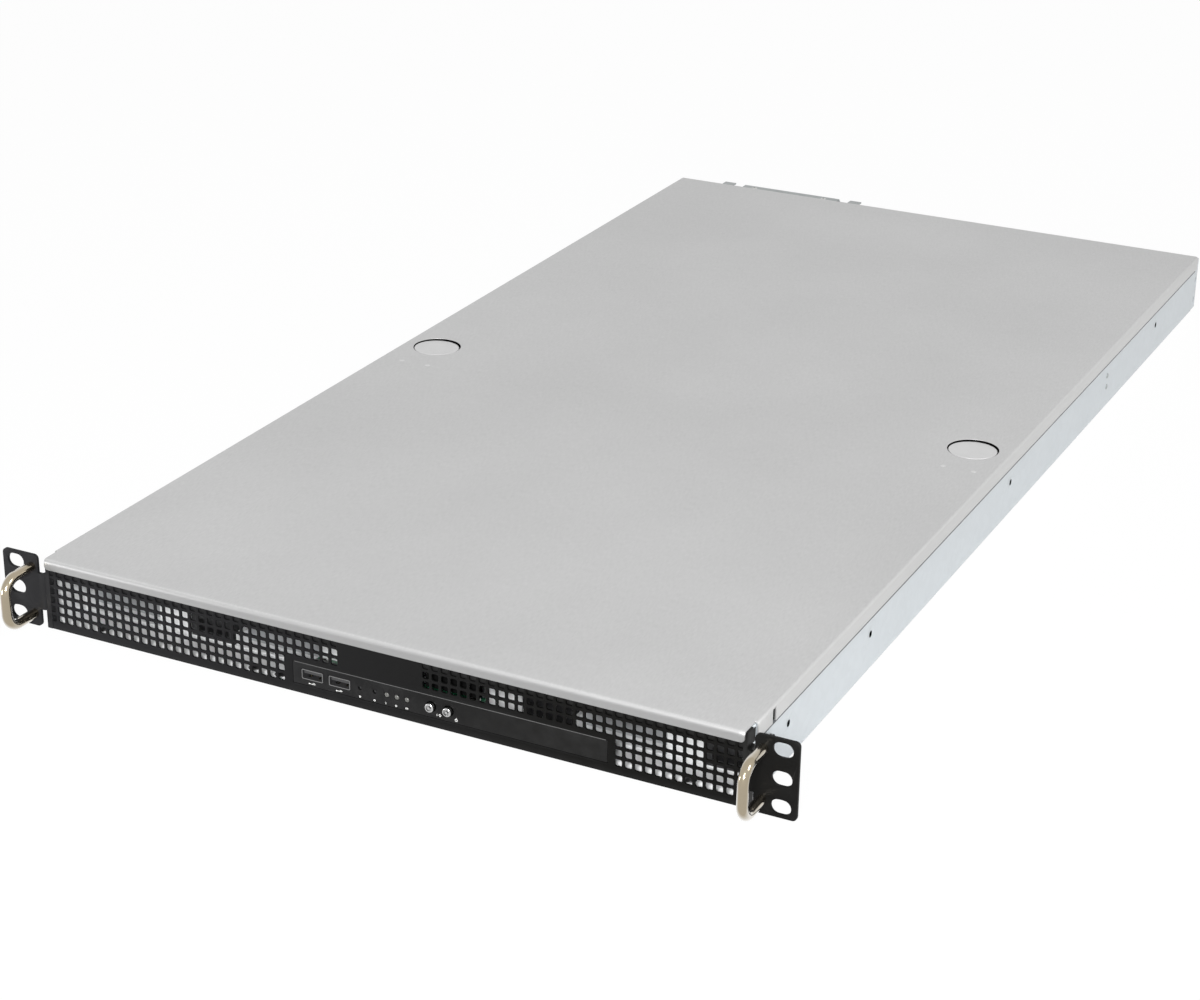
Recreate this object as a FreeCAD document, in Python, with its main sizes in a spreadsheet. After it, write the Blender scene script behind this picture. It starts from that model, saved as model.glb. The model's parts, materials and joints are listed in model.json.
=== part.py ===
import FreeCAD, Part
import math
import os
import re

os.makedirs("parts", exist_ok=True)

# A 1U rack server with twelve drives behind a square-holed grille.
# Frame: +X to the right seen from the front, +Y to the rear, +Z up, millimetres.
# The origin is on the plane of the ears' back faces, at the centre of the ear slot pattern.

doc = FreeCAD.newDocument("RackServer")
sizes = doc.addObject("Spreadsheet::Sheet", "Sizes")

# driving dimensions, one per line: alias, value in mm, what it is
driving = [
    ("unit_rise", 44.45, "one rack unit"),
    ("hole_step", 15.875, "rack hole spacing up the rail"),
    ("ear_width", 23.7, "width of an ear"),
    ("ear_gap", 4.5, "side wall to the inner edge of an ear"),
    ("ear_gauge", 2.0, "ear sheet"),
    ("slot_edge", 8.75, "slot centre from the outer edge of an ear"),
    ("slot_rim", 1.825, "ear sheet above the top slot"),
    ("ear_corner", 2.5, "corner radius of an ear"),
    ("slot_long", 11.0, "ear slot along X"),
    ("slot_wide", 8.4, "ear slot along Z"),
    ("neck_rise", 22.4, "height of the neck and leg of an ear"),
    ("leg_long", 32.0, "ear leg along the side wall"),
    ("leg_screw_edge", 7.0, "leg screw centre from the end of the leg"),
    ("screw_head", 6.0, "screw head"),
    ("head_rise", 1.2, "screw head height"),
    ("grip_rod", 6.0, "handle rod"),
    ("grip_reach", 23.5, "handle centre line in front of the ear"),
    ("grip_centres", 28.7, "handle legs, centre to centre"),
    ("grip_inset", 4.4, "handle leg centre from the ear inner edge"),
    ("grip_bend", 9.0, "handle bend radius"),
    ("grip_head", 6.6, "handle screw head"),
    ("grip_head_rise", 2.2, "handle screw head height"),
    ("body_rise", 43.5, "height over the cover"),
    ("cover_gauge", 1.0, "cover sheet"),
    ("cover_bend", 1.6, "outer bend radius of the cover"),
    ("lip_face", 2.8, "cover lip in front of the rack plane"),
    ("lip_drop", 6.2, "height of the cover lip"),
    ("lip_inset", 2.4, "lip end in from the side of the cover"),
    ("skirt_drop", 9.5, "height of the side skirts"),
    ("skirt_start", 10.0, "front end of the side skirts"),
    ("relief_at", 29.0, "relief slot in the skirt"),
    ("relief_wide", 1.5, "width of the relief slot"),
    ("run_gap", 0.3, "clearance of moving pieces"),
    ("side_clear", 2.5, "side wall to the drive columns"),
    ("pad_across", 31.0, "release button"),
    ("pad_gap", 0.5, "gap round the release button"),
    ("pad_clear", 1.1, "release button to the flange of the side wall"),
    ("weld_at", 364.0, "weld spots of the leaf spring"),
    ("leaf_reach", 32.0, "weld spots to the centre of the release button"),
    ("leaf_end", 3.0, "leaf spring past its weld spots"),
    ("leaf_wide", 24.0, "leaf spring width"),
    ("leaf_gauge", 0.7, "leaf spring sheet"),
    ("sheet", 1.0, "chassis sheet"),
    ("wall_over", 8.0, "side walls past the rear wall"),
    ("wall_over_rise", 33.0, "height of the side walls past the rear wall"),
    ("flange_wide", 6.0, "inward flange at the top of the side walls"),
    ("side_hole", 4.0, "holes in the side walls"),
    ("panel_face", 0.6, "front panel face in front of the rack plane"),
    ("panel_gauge", 1.2, "front panel sheet"),
    ("mesh_hole", 4.1, "grille hole"),
    ("mesh_pitch", 5.6, "grille pitch"),
    ("mesh_low", 6.9, "lowest row of holes above the floor plane"),
    ("mesh_margin", 2.0, "sheet round the input plate with no holes"),
    ("bare_left", -22.0, "bare field of the grille, left edge"),
    ("bare_wide", 48.0, "bare field width"),
    ("plate_left", -51.5, "input plate, left end"),
    ("plate_long", 188.5, "input plate length"),
    ("plate_low", 5.3, "input plate, lower edge"),
    ("plate_rise", 13.3, "input plate height"),
    ("plate_gap", 0.3, "gap round the input plate"),
    ("plate_gauge", 1.6, "input plate thickness"),
    ("rim_wide", 1.5, "rim of the input plate behind the panel"),
    ("input_board_gap", 4.0, "input plate to its circuit board"),
    ("input_board_deep", 20.0, "input board from front to rear"),
    ("input_board_end", 12.0, "input board past the first socket"),
    ("input_board_far", 8.0, "input board past the last button"),
    ("socket_wide", 13.1, "socket shell width"),
    ("socket_rise", 5.7, "socket shell height"),
    ("socket_deep", 14.0, "socket shell depth"),
    ("socket_wall", 0.4, "socket shell sheet"),
    ("socket_inset", 12.3, "first socket from the left end of the input plate"),
    ("tongue_wide", 11.2, "socket tongue width"),
    ("tongue_gauge", 1.8, "socket tongue thickness"),
    ("socket_step", 17.0, "sockets, centre to centre"),
    ("pin_gap", 12.6, "last socket to the first pinhole"),
    ("pin_step", 9.0, "pinholes, centre to centre"),
    ("pin_across", 2.2, "pinhole"),
    ("light_gap", 7.5, "last pinhole to the first light"),
    ("light_step", 6.1, "lights, centre to centre"),
    ("light_across", 3.0, "light pipe"),
    ("button_gap", 14.7, "last light to the first button"),
    ("button_step", 10.5, "buttons, centre to centre"),
    ("button_across", 5.4, "button cap"),
    ("button_proud", 2.6, "button cap in front of the input plate"),
    ("collar_wide", 0.8, "button collar past the cap"),
    ("switch_wide", 6.0, "push switch width"),
    ("switch_deep", 5.0, "push switch depth"),
    ("press_gap", 0.35, "clearance round a button or plunger"),
    ("drive_wide", 101.6, "hard drive width"),
    ("drive_long", 147.0, "hard drive length"),
    ("drive_rise", 26.1, "hard drive height"),
    ("drive_gap", 1.2, "gap between two carriers side by side"),
    ("board_clear", 2.0, "input board to the first carriers"),
    ("row_gap", 1.9, "backplane to the carriers behind it"),
    ("drive_step", 6.0, "step at the plug end of a drive"),
    ("drive_step_long", 9.0, "length of that step"),
    ("carrier_sheet", 1.0, "drive carrier sheet"),
    ("carrier_side", 9.0, "height of the carrier sides"),
    ("latch_wide", 28.5, "carrier lever width"),
    ("latch_rise", 15.0, "carrier lever height"),
    ("lever_deep", 9.0, "carrier in front of its drive"),
    ("plug_deep", 3.5, "drive plug between drive and backplane"),
    ("plug_wide", 44.0, "drive plug width"),
    ("plug_inset", 16.0, "drive plug from the side of its drive"),
    ("board_gauge", 1.6, "circuit board"),
    ("backplane_rise", 34.0, "height of a backplane"),
    ("fan_deep", 28.0, "fan depth"),
    ("fan_wall", 1.2, "least wall of a fan frame"),
    ("blade_gap", 1.0, "blade tips to the fan bore"),
    ("blade_gauge", 1.0, "fan blade thickness"),
    ("spoke_wide", 2.0, "fan spoke"),
    ("fan_hub", 20.0, "fan hub"),
    ("fan_edge", 56.1, "side wall to the outer fan"),
    ("cable_gap", 43.0, "fans to the power supply"),
    ("supply_wide", 100.0, "power supply width"),
    ("supply_sheet", 0.6, "power supply sheet"),
    ("supply_long", 250.0, "power supply length"),
    ("supply_rim", 4.0, "rear wall round the power supply opening"),
    ("supply_post", 3.0, "height of the power supply's board over its floor"),
    ("vent_wide", 8.0, "vent slot in the power supply"),
    ("vent_step", 13.0, "vent slots, centre to centre"),
    ("inlet_wide", 27.4, "mains inlet width"),
    ("inlet_rise", 19.6, "mains inlet height"),
    ("inlet_deep", 22.0, "mains inlet behind the rear wall"),
    ("inlet_lip", 1.6, "wall of the mains inlet"),
    ("inlet_gap", 8.3, "supply fan to the mains inlet"),
    ("supply_fan_side", 6.0, "supply fan from the side of the power supply"),
    ("mother_side", 244.0, "motherboard side"),
    ("post_inset", 8.0, "standoff from the edge of its board"),
    ("post_across", 6.0, "standoff"),
    ("board_screw_rise", 1.8, "height of a board screw head"),
    ("standoff", 6.4, "standoff height"),
    ("heat_side", 90.0, "heat sink side"),
    ("heat_rise", 26.0, "heat sink height"),
    ("heat_side_at", 96.0, "heat sink from the left edge of the motherboard"),
    ("heat_front_at", 40.0, "heat sink from the front edge of the motherboard"),
    ("heat_base", 4.0, "heat sink base"),
    ("fin_gauge", 0.8, "heat sink fin"),
    ("processor_side", 38.0, "processor side"),
    ("processor_rise", 5.0, "processor over the motherboard"),
    ("memory_first", 16.0, "first memory module from the left edge of the motherboard"),
    ("memory_step", 9.6, "memory modules, centre to centre"),
    ("memory_split", 10.0, "gap between the two pairs of memory modules"),
    ("memory_front", 30.0, "memory sockets from the front edge of the motherboard"),
    ("memory_long", 133.4, "memory module length"),
    ("memory_rise", 20.0, "memory module over its socket"),
    ("memory_socket_rise", 6.0, "memory socket height"),
    ("memory_socket_wide", 7.6, "memory socket width"),
    ("memory_gauge", 1.6, "memory module thickness"),
    ("shield_gauge", 0.5, "rear port shield"),
    ("shield_wide", 158.8, "rear port opening"),
    ("shield_apart", 6.0, "expansion slot opening to the port opening"),
    ("shield_over", 2.0, "shield past its opening on each side"),
    ("shield_rim", 5.2, "rear wall above the port opening"),
    ("port_deep", 16.0, "port behind the rear face"),
    ("port_wall", 1.0, "wall of a port"),
    ("port_fit", 0.2, "shield round a port"),
    ("stack_first", 8.0, "first stacked socket from the port opening's edge"),
    ("stack_step", 17.0, "stacked sockets, centre to centre"),
    ("stack_wide", 13.2, "stacked socket width"),
    ("stack_rise", 15.6, "stacked socket height"),
    ("jack_first", 44.0, "first network jack from the port opening's edge"),
    ("jack_step", 19.0, "network jacks, centre to centre"),
    ("jack_wide", 16.0, "network jack width"),
    ("jack_rise", 14.0, "network jack height"),
    ("plug_first", 108.0, "display socket from the port opening's edge"),
    ("display_wide", 30.0, "display socket width"),
    ("display_rise", 12.0, "display socket height"),
    ("slot_cover_wide", 76.0, "expansion slot opening"),
    ("slot_cover_rise", 14.0, "expansion slot opening height"),
    ("blank_gauge", 0.8, "expansion slot cover sheet"),
    ("blank_over", 2.0, "expansion slot cover past its opening"),
    ("blank_fold", 10.0, "folded side of the expansion slot cover"),
    ("slot_cover_over", 6.0, "expansion slot opening above the motherboard"),
    ("strip_wide", 82.0, "rear strip width"),
    ("strip_deep", 14.0, "rear strip past the rear wall"),
    ("tab_wide", 10.0, "rear tab width"),
    ("tab_step", 109.4, "rear tabs, centre to centre"),
    ("strip_screw_step", 60.0, "rear strip screws, centre to centre"),
    ("strip_screw_head", 4.4, "rear strip screw head"),
    ("strip_screw_rise", 1.1, "rear strip screw head height"),
    ("strip_screw_at", 6.0, "rear strip screw from the rear wall"),
]

# counts, used by loops and patterns
drive_columns = 4
drive_rows = 3
fan_count = 5
blade_count = 7
socket_count = 2
button_count = 2
light_count = 3
jack_count = 3
vent_count = 6
memory_count = 4
fin_count = 18
small_side_count = 12  # flat sides that stand for a small round
bolt_side_count = 6

for row, (alias, value, meaning) in enumerate(driving, start=1):
    sizes.set(f"A{row}", meaning)
    sizes.set(f"B{row}", str(value))
    sizes.setAlias(f"B{row}", alias)

# dimensions worked out from the driving ones
derived = [
    ("floor_z", "-unit_rise / 2", "underside of the chassis"),
    ("mid_z", "unit_rise / 2", "middle of the ear slots above the underside"),
    ("drive_column", "drive_wide + 2 * carrier_sheet + drive_gap", "drive columns, centre to centre"),
    ("chassis_half", f"{drive_columns} * drive_column / 2 + side_clear + sheet", "outside of a side wall"),
    ("cover_half", "chassis_half + run_gap + cover_gauge", "outside of a skirt"),
    ("wall_top", "body_rise - cover_gauge - run_gap", "top of the chassis"),
    ("ear_inner", "chassis_half + ear_gap", "centre line to the inner edge of an ear"),
    ("rack_half", "ear_inner + ear_width", "centre line to the outer edge of an ear"),
    ("slot_x", "rack_half - slot_edge", "centre line to the rack slots"),
    ("ear_rise", "2 * hole_step + slot_wide + 2 * slot_rim", "height of an ear"),
    ("panel_back", "panel_gauge - panel_face", "back face of the front panel"),
    ("plate_back", "plate_gauge - panel_face", "back face of the input plate"),
    ("control_rise", "plate_low + plate_rise / 2", "height of the sockets, lights and buttons"),
    ("socket_first", "plate_left + socket_inset", "left socket centre"),
    ("pin_first", f"socket_first + {socket_count - 1} * socket_step + pin_gap", "left pinhole centre"),
    ("light_first", f"pin_first + {button_count - 1} * pin_step + light_gap", "left light centre"),
    ("button_first", f"light_first + {light_count - 1} * light_step + button_gap", "left button centre"),
    ("input_board_at", "plate_back + input_board_gap", "front edge of the input board"),
    ("input_board_top", "control_rise - socket_rise / 2", "top of the input board"),
    ("grip_x", "ear_inner + grip_inset", "handle from the centre line"),
    ("drive_low", "sheet + carrier_sheet", "underside of the drives"),
    ("drive_first", "input_board_at + input_board_deep + board_clear + lever_deep", "front of the first drives"),
    ("drive_row", "lever_deep + drive_long + plug_deep + board_gauge + row_gap", "drive rows, front to front"),
    ("supply_rise", "wall_top - sheet", "power supply height"),
    ("fan_size", "supply_rise - 2 * supply_sheet", "fan frame"),
    ("fan_bore", "fan_size - 2 * fan_wall", "bore of a fan frame"),
    ("fan_step", f"(2 * (chassis_half - sheet - fan_edge) - fan_size) / {fan_count - 1}", "fans, centre to centre"),
    ("fan_low", "sheet + run_gap", "underside of the fans"),
    ("fan_at", f"drive_first + {drive_rows} * drive_row - lever_deep", "front face of the fans"),
    ("rear_inner", "fan_at + fan_deep + cable_gap + supply_long", "inner face of the rear wall"),
    ("rear_face", "rear_inner + sheet", "outer face of the rear wall and rear edge of the cover"),
    ("pad_x", "chassis_half - flange_wide - pad_clear - pad_across / 2", "release button from the centre line"),
    ("pad_at", "weld_at + leaf_reach", "release button from the rack plane"),
    ("rear_free", "2 * (chassis_half - sheet) - mother_side - supply_wide", "free width of the rear floor"),
    ("mother_left", "chassis_half - sheet - rear_free / 4 - mother_side", "left edge of the motherboard"),
    ("mother_low", "sheet + standoff", "underside of the motherboard"),
    ("mother_top", "mother_low + board_gauge", "top of the motherboard"),
    ("mother_front", "rear_inner - shield_gauge - run_gap - mother_side", "front edge of the motherboard"),
    ("supply_left", "mother_left - rear_free / 4 - supply_wide", "left side of the power supply"),
    ("supply_mid", "supply_left + supply_wide / 2", "middle of the power supply"),
    ("supply_front", "rear_inner - supply_long", "front face of the power supply"),
    ("shield_left", "mother_left + slot_cover_wide + shield_apart", "left edge of the port opening"),
    ("shield_rise", "wall_top - sheet - shield_rim", "height of the port opening"),
    ("strip_z", "wall_top - 2 * sheet", "underside of the rear strip"),
]

aliases = {alias for alias, _, _ in driving} | {alias for alias, _, _ in derived}


def in_sheet(formula):
    """The formula with the sheet's name taken off, for a cell of the sheet itself."""
    return "=" + formula


def qualified(formula):
    """The formula with each alias written as a property of the sheet."""
    return re.sub(r"[a-z_]+", lambda word: "Sizes." + word[0] if word[0] in aliases else word[0], formula)


for row, (alias, formula, meaning) in enumerate(derived, start=len(driving) + 1):
    sizes.set(f"A{row}", meaning)
    sizes.set(f"B{row}", in_sheet(formula))
    sizes.setAlias(f"B{row}", alias)
doc.recompute()


def size(alias):
    """The present value of a cell."""
    return float(getattr(sizes, alias))


nodes = []


def bind(item, **formulas):
    """Bind properties of an object to formulas; a double underscore stands for a dot."""
    for name, formula in formulas.items():
        item.setExpression(name.replace("__", "."), qualified(formula))
    return item


def place(item, x, y, z):
    """Put an object at formulas for x, y and the height above the underside of the chassis."""
    return bind(item, Placement__Base__x=x, Placement__Base__y=y, Placement__Base__z=f"floor_z + ({z})")


def block(name, x, y, z, wide, deep, rise):
    """A box from its lowest corner."""
    item = doc.addObject("Part::Box", name)
    bind(item, Length=wide, Width=deep, Height=rise)
    return place(item, x, y, z)


turns = {
    "x": FreeCAD.Rotation(FreeCAD.Vector(0, 1, 0), 90),
    "y": FreeCAD.Rotation(FreeCAD.Vector(1, 0, 0), -90),
    "z": FreeCAD.Rotation(),
}


def rod(name, x, y, z, across, length, along="z", sides=0):
    """A round bar of a diameter from the centre of its first end, or one with flat sides."""
    item = doc.addObject("Part::Prism" if sides else "Part::Cylinder", name)
    item.Placement = FreeCAD.Placement(FreeCAD.Vector(), turns[along])
    if sides:
        item.Polygon = sides
        bind(item, Circumradius=f"({across}) / 2", Height=length)
    else:
        bind(item, Radius=f"({across}) / 2", Height=length)
    return place(item, x, y, z)


def union(name, shapes):
    """Pieces fused into one."""
    if len(shapes) == 1:
        return shapes[0]
    item = doc.addObject("Part::MultiFuse", name)
    item.Shapes = shapes
    return item


def group(name, shapes):
    """Separate solids kept together in one object."""
    item = doc.addObject("Part::Compound", name)
    item.Links = shapes
    return item


def cut(name, base, tools):
    """A piece with others taken out of it."""
    item = doc.addObject("Part::Cut", name)
    item.Base = base
    item.Tool = tools[0] if len(tools) == 1 else group(name + "_tools", tools)
    return item


def rounded(name, base, radius, chosen):
    """Fillets on the edges of a shape that a test picks out."""
    doc.recompute()
    edges = [i for i, edge in enumerate(base.Shape.Edges, start=1) if chosen(edge)]
    item = doc.addObject("Part::Fillet", name)
    item.Base = base
    item.Edges = [(i, radius, radius) for i in edges]
    return item


def node(item, label):
    """Mark an object as a finished piece of the server."""
    item.Label = label
    nodes.append(item)
    return item


def runs_along(edge, axis):
    """Whether an edge is a straight one along an axis."""
    if edge.Curve.TypeId != "Part::GeomLine":
        return False
    way = FreeCAD.Vector(*[1.0 if name == axis else 0.0 for name in "xyz"])
    return abs(abs(edge.tangentAt(edge.FirstParameter) * way) - 1) < 1e-6


# chassis tray: floor and side walls with turned-in flanges
wall_side = {"left": "-chassis_half", "right": "chassis_half - sheet"}
flange_side = {"left": "-chassis_half", "right": "chassis_half - flange_wide"}
tray_long = "rear_inner - panel_back"
tray = [block("floor", "-chassis_half", "panel_back", "0", "2 * chassis_half", tray_long, "sheet")]
for side in ("left", "right"):
    tray.append(block(f"wall_{side}", wall_side[side], "panel_back", "0", "sheet", tray_long, "wall_top"))
    tray.append(block(f"wall_end_{side}", wall_side[side], "rear_inner", "0",
                      "sheet", "wall_over + sheet", "wall_over_rise"))
    tray.append(block(f"flange_{side}", flange_side[side], "panel_back", "wall_top - sheet",
                      "flange_wide", tray_long, "sheet"))
tray_cuts = []
side_hole_places = ("52.4", "167.2", "405.4", "732.9")
for number, place_y in enumerate(side_hole_places, start=1):
    tray_cuts.append(rod(f"side_hole_{number}", "-chassis_half - 1", place_y, "mid_z",
                         "side_hole", "2 * chassis_half + 2", "x"))
for number, low in enumerate(("4.5", "20"), start=1):
    tray_cuts.append(block(f"end_slot_{number}", "-chassis_half - 1", "rear_face + 2.4", low,
                           "2 * chassis_half + 2", "2.6", "6"))
node(cut("chassis_cut", union("chassis_fused", tray), tray_cuts), "chassis_tray")

# rear panel with its openings, the ledge under the rear strip and two tabs beside it
rear = [
    block("rear_wall", "-chassis_half + sheet", "rear_inner", "0",
          "2 * chassis_half - 2 * sheet", "sheet", "wall_top"),
    block("strip_ledge", "supply_mid - strip_wide / 2 - 1", "rear_inner", "strip_z - sheet",
          "strip_wide + 2", "strip_deep", "sheet"),
]
for hand, name in ((-1, "outer"), (1, "inner")):
    tab_x = f"supply_mid + ({hand}) * tab_step / 2 - tab_wide / 2"
    rear.append(block(f"tab_{name}", tab_x, "rear_inner", "strip_z", "tab_wide", "strip_deep + sheet", "sheet"))
    rear.append(block(f"tab_curl_{name}", tab_x, "rear_inner", "strip_z - 2 * sheet",
                      "sheet", "strip_deep + sheet", "2 * sheet"))
rear_cuts = [
    block("supply_opening", "supply_left + supply_rim", "rear_inner - 1", "sheet + supply_rim - 1",
          "supply_wide - 2 * supply_rim", "sheet + 2", "supply_rise - 2 * supply_rim"),
    block("port_opening", "shield_left", "rear_inner - 1", "sheet + shield_over",
          "shield_wide", "sheet + 2", "shield_rise"),
    block("expansion_opening", "mother_left", "rear_inner - 1", "mother_top + slot_cover_over",
          "slot_cover_wide", "sheet + 2", "slot_cover_rise"),
]
node(cut("rear_cut", union("rear_fused", rear), rear_cuts), "rear_panel")

# cross member behind the top of the grille, under the front of the cover
member = [
    block("member_upright", "-chassis_half + sheet", "panel_back", "wall_top - lip_drop - 4",
          "2 * chassis_half - 2 * sheet", "sheet", "lip_drop + 4 - sheet"),
    block("member_ledge", "-chassis_half + flange_wide", "panel_back", "wall_top - sheet",
          "2 * chassis_half - 2 * flange_wide", "14", "sheet"),
]
node(union("member_fused", member), "front_cross_member")


# front panel: one sheet with a square-holed grille, a window for the input plate and a bare field
def mesh_holes():
    """The centres of the grille holes, in rows and columns clear of the window and the bare field."""
    hole = size("mesh_hole")
    pitch = size("mesh_pitch")
    inner = size("chassis_half") - size("sheet")
    columns = int((2 * inner - hole) / pitch) + 1
    rows = int((size("wall_top") - size("mesh_low") - hole / 2 - 1) / pitch) + 1
    window = (size("plate_left"), size("plate_left") + size("plate_long"))
    window_top = size("plate_low") + size("plate_rise")
    margin = size("mesh_margin")
    bare = (size("bare_left"), size("bare_left") + size("bare_wide"))
    for column in range(columns):
        x = (column - (columns - 1) / 2) * pitch
        if bare[0] < x + hole / 2 and x - hole / 2 < bare[1]:
            continue
        beside = x + hole / 2 < window[0] - margin or x - hole / 2 > window[1] + margin
        for row in range(rows):
            z = size("mesh_low") + row * pitch
            if beside or z - hole / 2 > window_top + margin:
                yield x, z


def rectangle(left, low, wide, rise, y, base):
    """A closed rectangular wire facing along Y."""
    corners = [(left, low), (left + wide, low), (left + wide, low + rise), (left, low + rise), (left, low)]
    return Part.makePolygon([FreeCAD.Vector(x, y, base + z) for x, z in corners])


def panel_shape():
    """The front sheet, extruded once from its outline and all its holes."""
    base = size("floor_z")
    y = -size("panel_face")
    half = size("chassis_half")
    hole = size("mesh_hole")
    outline = rectangle(-half, 0, 2 * half, size("wall_top"), y, base)
    window = rectangle(size("plate_left"), size("plate_low"), size("plate_long"), size("plate_rise"), y, base)
    holes = [rectangle(x - hole / 2, z - hole / 2, hole, hole, y, base) for x, z in mesh_holes()]
    face = Part.makeFace([outline, window] + holes, "Part::FaceMakerBullseye")
    return face.extrude(FreeCAD.Vector(0, size("panel_gauge"), 0))


panel = doc.addObject("Part::Feature", "front_sheet")
panel.Shape = panel_shape()
node(panel, "front_panel")

# input plate, flush in the window, held by a rim behind the panel
plate_body = [
    block("plate_face", "plate_left + plate_gap", "-panel_face", "plate_low + plate_gap",
          "plate_long - 2 * plate_gap", "plate_gauge", "plate_rise - 2 * plate_gap"),
    block("plate_rim", "plate_left - rim_wide", "panel_back", "plate_low - rim_wide",
          "plate_long + 2 * rim_wide", "plate_back - panel_back", "plate_rise + 2 * rim_wide"),
]
plate_cuts = []
plate_through = ("-panel_face - 1", "plate_gauge + 2")
for number in range(socket_count):
    plate_cuts.append(block(f"socket_window_{number}",
                            f"socket_first + {number} * socket_step - (socket_wide + plate_gap) / 2",
                            plate_through[0], "input_board_top - plate_gap / 2",
                            "socket_wide + plate_gap", plate_through[1], "socket_rise + plate_gap"))
for number in range(button_count):
    plate_cuts.append(rod(f"pinhole_{number}", f"pin_first + {number} * pin_step", plate_through[0],
                          "control_rise", "pin_across", plate_through[1], "y", small_side_count))
    plate_cuts.append(rod(f"button_hole_{number}", f"button_first + {number} * button_step", plate_through[0],
                          "control_rise", "button_across + 2 * press_gap", plate_through[1], "y"))
for number in range(light_count):
    plate_cuts.append(rod(f"light_hole_{number}", f"light_first + {number} * light_step", plate_through[0],
                          "control_rise", "light_across", plate_through[1], "y", small_side_count))
node(cut("plate_cut", union("plate_fused", plate_body), plate_cuts), "input_plate")

# front input board with sockets, light pipes, switches, buttons and plungers
button_last = f"button_first + {button_count - 1} * button_step"
node(block("input_board_box", "socket_first - input_board_end", "input_board_at",
           "input_board_top - board_gauge",
           f"{button_last} - socket_first + input_board_end + input_board_far",
           "input_board_deep", "board_gauge"), "front_input_board")
sockets = []
for number in range(socket_count):
    centre = f"socket_first + {number} * socket_step"
    shell = block(f"socket_shell_{number}", f"{centre} - socket_wide / 2", "-panel_face", "input_board_top",
                  "socket_wide", "socket_deep", "socket_rise")
    mouth = block(f"socket_mouth_{number}", f"{centre} - socket_wide / 2 + socket_wall", "-panel_face - 1",
                  "input_board_top + socket_wall", "socket_wide - 2 * socket_wall", "socket_deep - 1",
                  "socket_rise - 2 * socket_wall")
    tongue = block(f"socket_tongue_{number}", f"{centre} - tongue_wide / 2", "-panel_face + 2 * socket_wall",
                   "input_board_top + socket_rise - 2 * socket_wall - tongue_gauge", "tongue_wide",
                   "socket_deep - 2 * socket_wall", "tongue_gauge")
    sockets.append(union(f"socket_{number}", [cut(f"socket_cut_{number}", shell, [mouth]), tongue]))
node(group("socket_pair", sockets), "front_sockets")
lights = []
for number in range(light_count):
    centre = f"light_first + {number} * light_step"
    pipe = rod(f"light_pipe_{number}", centre, "-panel_face - run_gap", "control_rise",
               "light_across", "input_board_at + 4", "y", small_side_count)
    foot = block(f"light_foot_{number}", f"{centre} - light_across / 2", "input_board_at + run_gap",
                 "input_board_top", "light_across", "light_across", "control_rise - input_board_top")
    lights.append(union(f"light_{number}", [pipe, foot]))
node(group("light_set", lights), "light_pipes")

switch_face = "input_board_at + press_gap"
switches = []


def switch(name, centre):
    """A push switch on the input board, behind a button or a plunger."""
    return block(f"{name}_switch", f"{centre} - switch_wide / 2", switch_face, "input_board_top",
                 "switch_wide", "switch_deep", "switch_wide")


press_names = ("locator", "power")
button_travel = 0.8
for number, name in enumerate(press_names):
    centre = f"button_first + {number} * button_step"
    cap = rod(f"{name}_cap", centre, "-panel_face - button_proud", "control_rise", "button_across",
              f"button_proud + panel_face + {switch_face} - {button_travel} - press_gap", "y")
    collar = rod(f"{name}_collar", centre, "plate_back + 1", "control_rise",
                 "button_across + 2 * collar_wide", "1", "y", small_side_count)
    node(union(f"{name}_fused", [cap, collar]), f"{name}_button")
    switches.append(switch(name, centre))
pin_names = ("reset", "service")
pin_travel = 0.4
for number, name in enumerate(pin_names):
    centre = f"pin_first + {number} * pin_step"
    pin_long = f"panel_face - 1 + {switch_face} - {pin_travel} - press_gap"
    node(rod(f"{name}_pin", centre, "-panel_face + 1", "control_rise", "pin_across - 2 * press_gap",
             pin_long, "y", small_side_count), f"{name}_plunger")
    switches.append(switch(name, centre))
node(group("switch_set", switches), "push_switches")

# ears: a flange with three rack slots, a neck and a leg along the side wall; a rod handle on each
neck_low = "mid_z - neck_rise / 2"
grip_straight = "grip_reach - grip_bend"
leg_screw_places = (("leg_screw_edge", "mid_z - neck_rise / 4"),
                    ("leg_long - ear_gauge - leg_screw_edge", "mid_z + neck_rise / 4"))
ear_screws = []
handle_screws = []


def grip_turn(side, sign, level, way):
    """A quarter turn of the handle rod, from the end of a leg to the bar; way is 1 for the upper leg."""
    ring = doc.addObject("Part::RegularPolygon", f"grip_ring_{side}_{level}")
    ring.Polygon = grip_side_count
    ring.Placement.Rotation = turns["y"]
    bind(ring, Circumradius="grip_rod / 2")
    centre_z = f"mid_z + ({way}) * grip_centres / 2"
    place(ring, f"{sign} * grip_x", f"-ear_gauge - ({grip_straight})", centre_z)
    turn = doc.addObject("Part::Revolution", f"grip_turn_{side}_{level}")
    turn.Source = ring
    turn.Axis = FreeCAD.Vector(way, 0, 0)
    turn.Angle = 90
    turn.Solid = True
    bind(turn, Base__y=f"-ear_gauge - ({grip_straight})", Base__z=f"floor_z + {centre_z} - ({way}) * grip_bend")
    return turn


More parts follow.
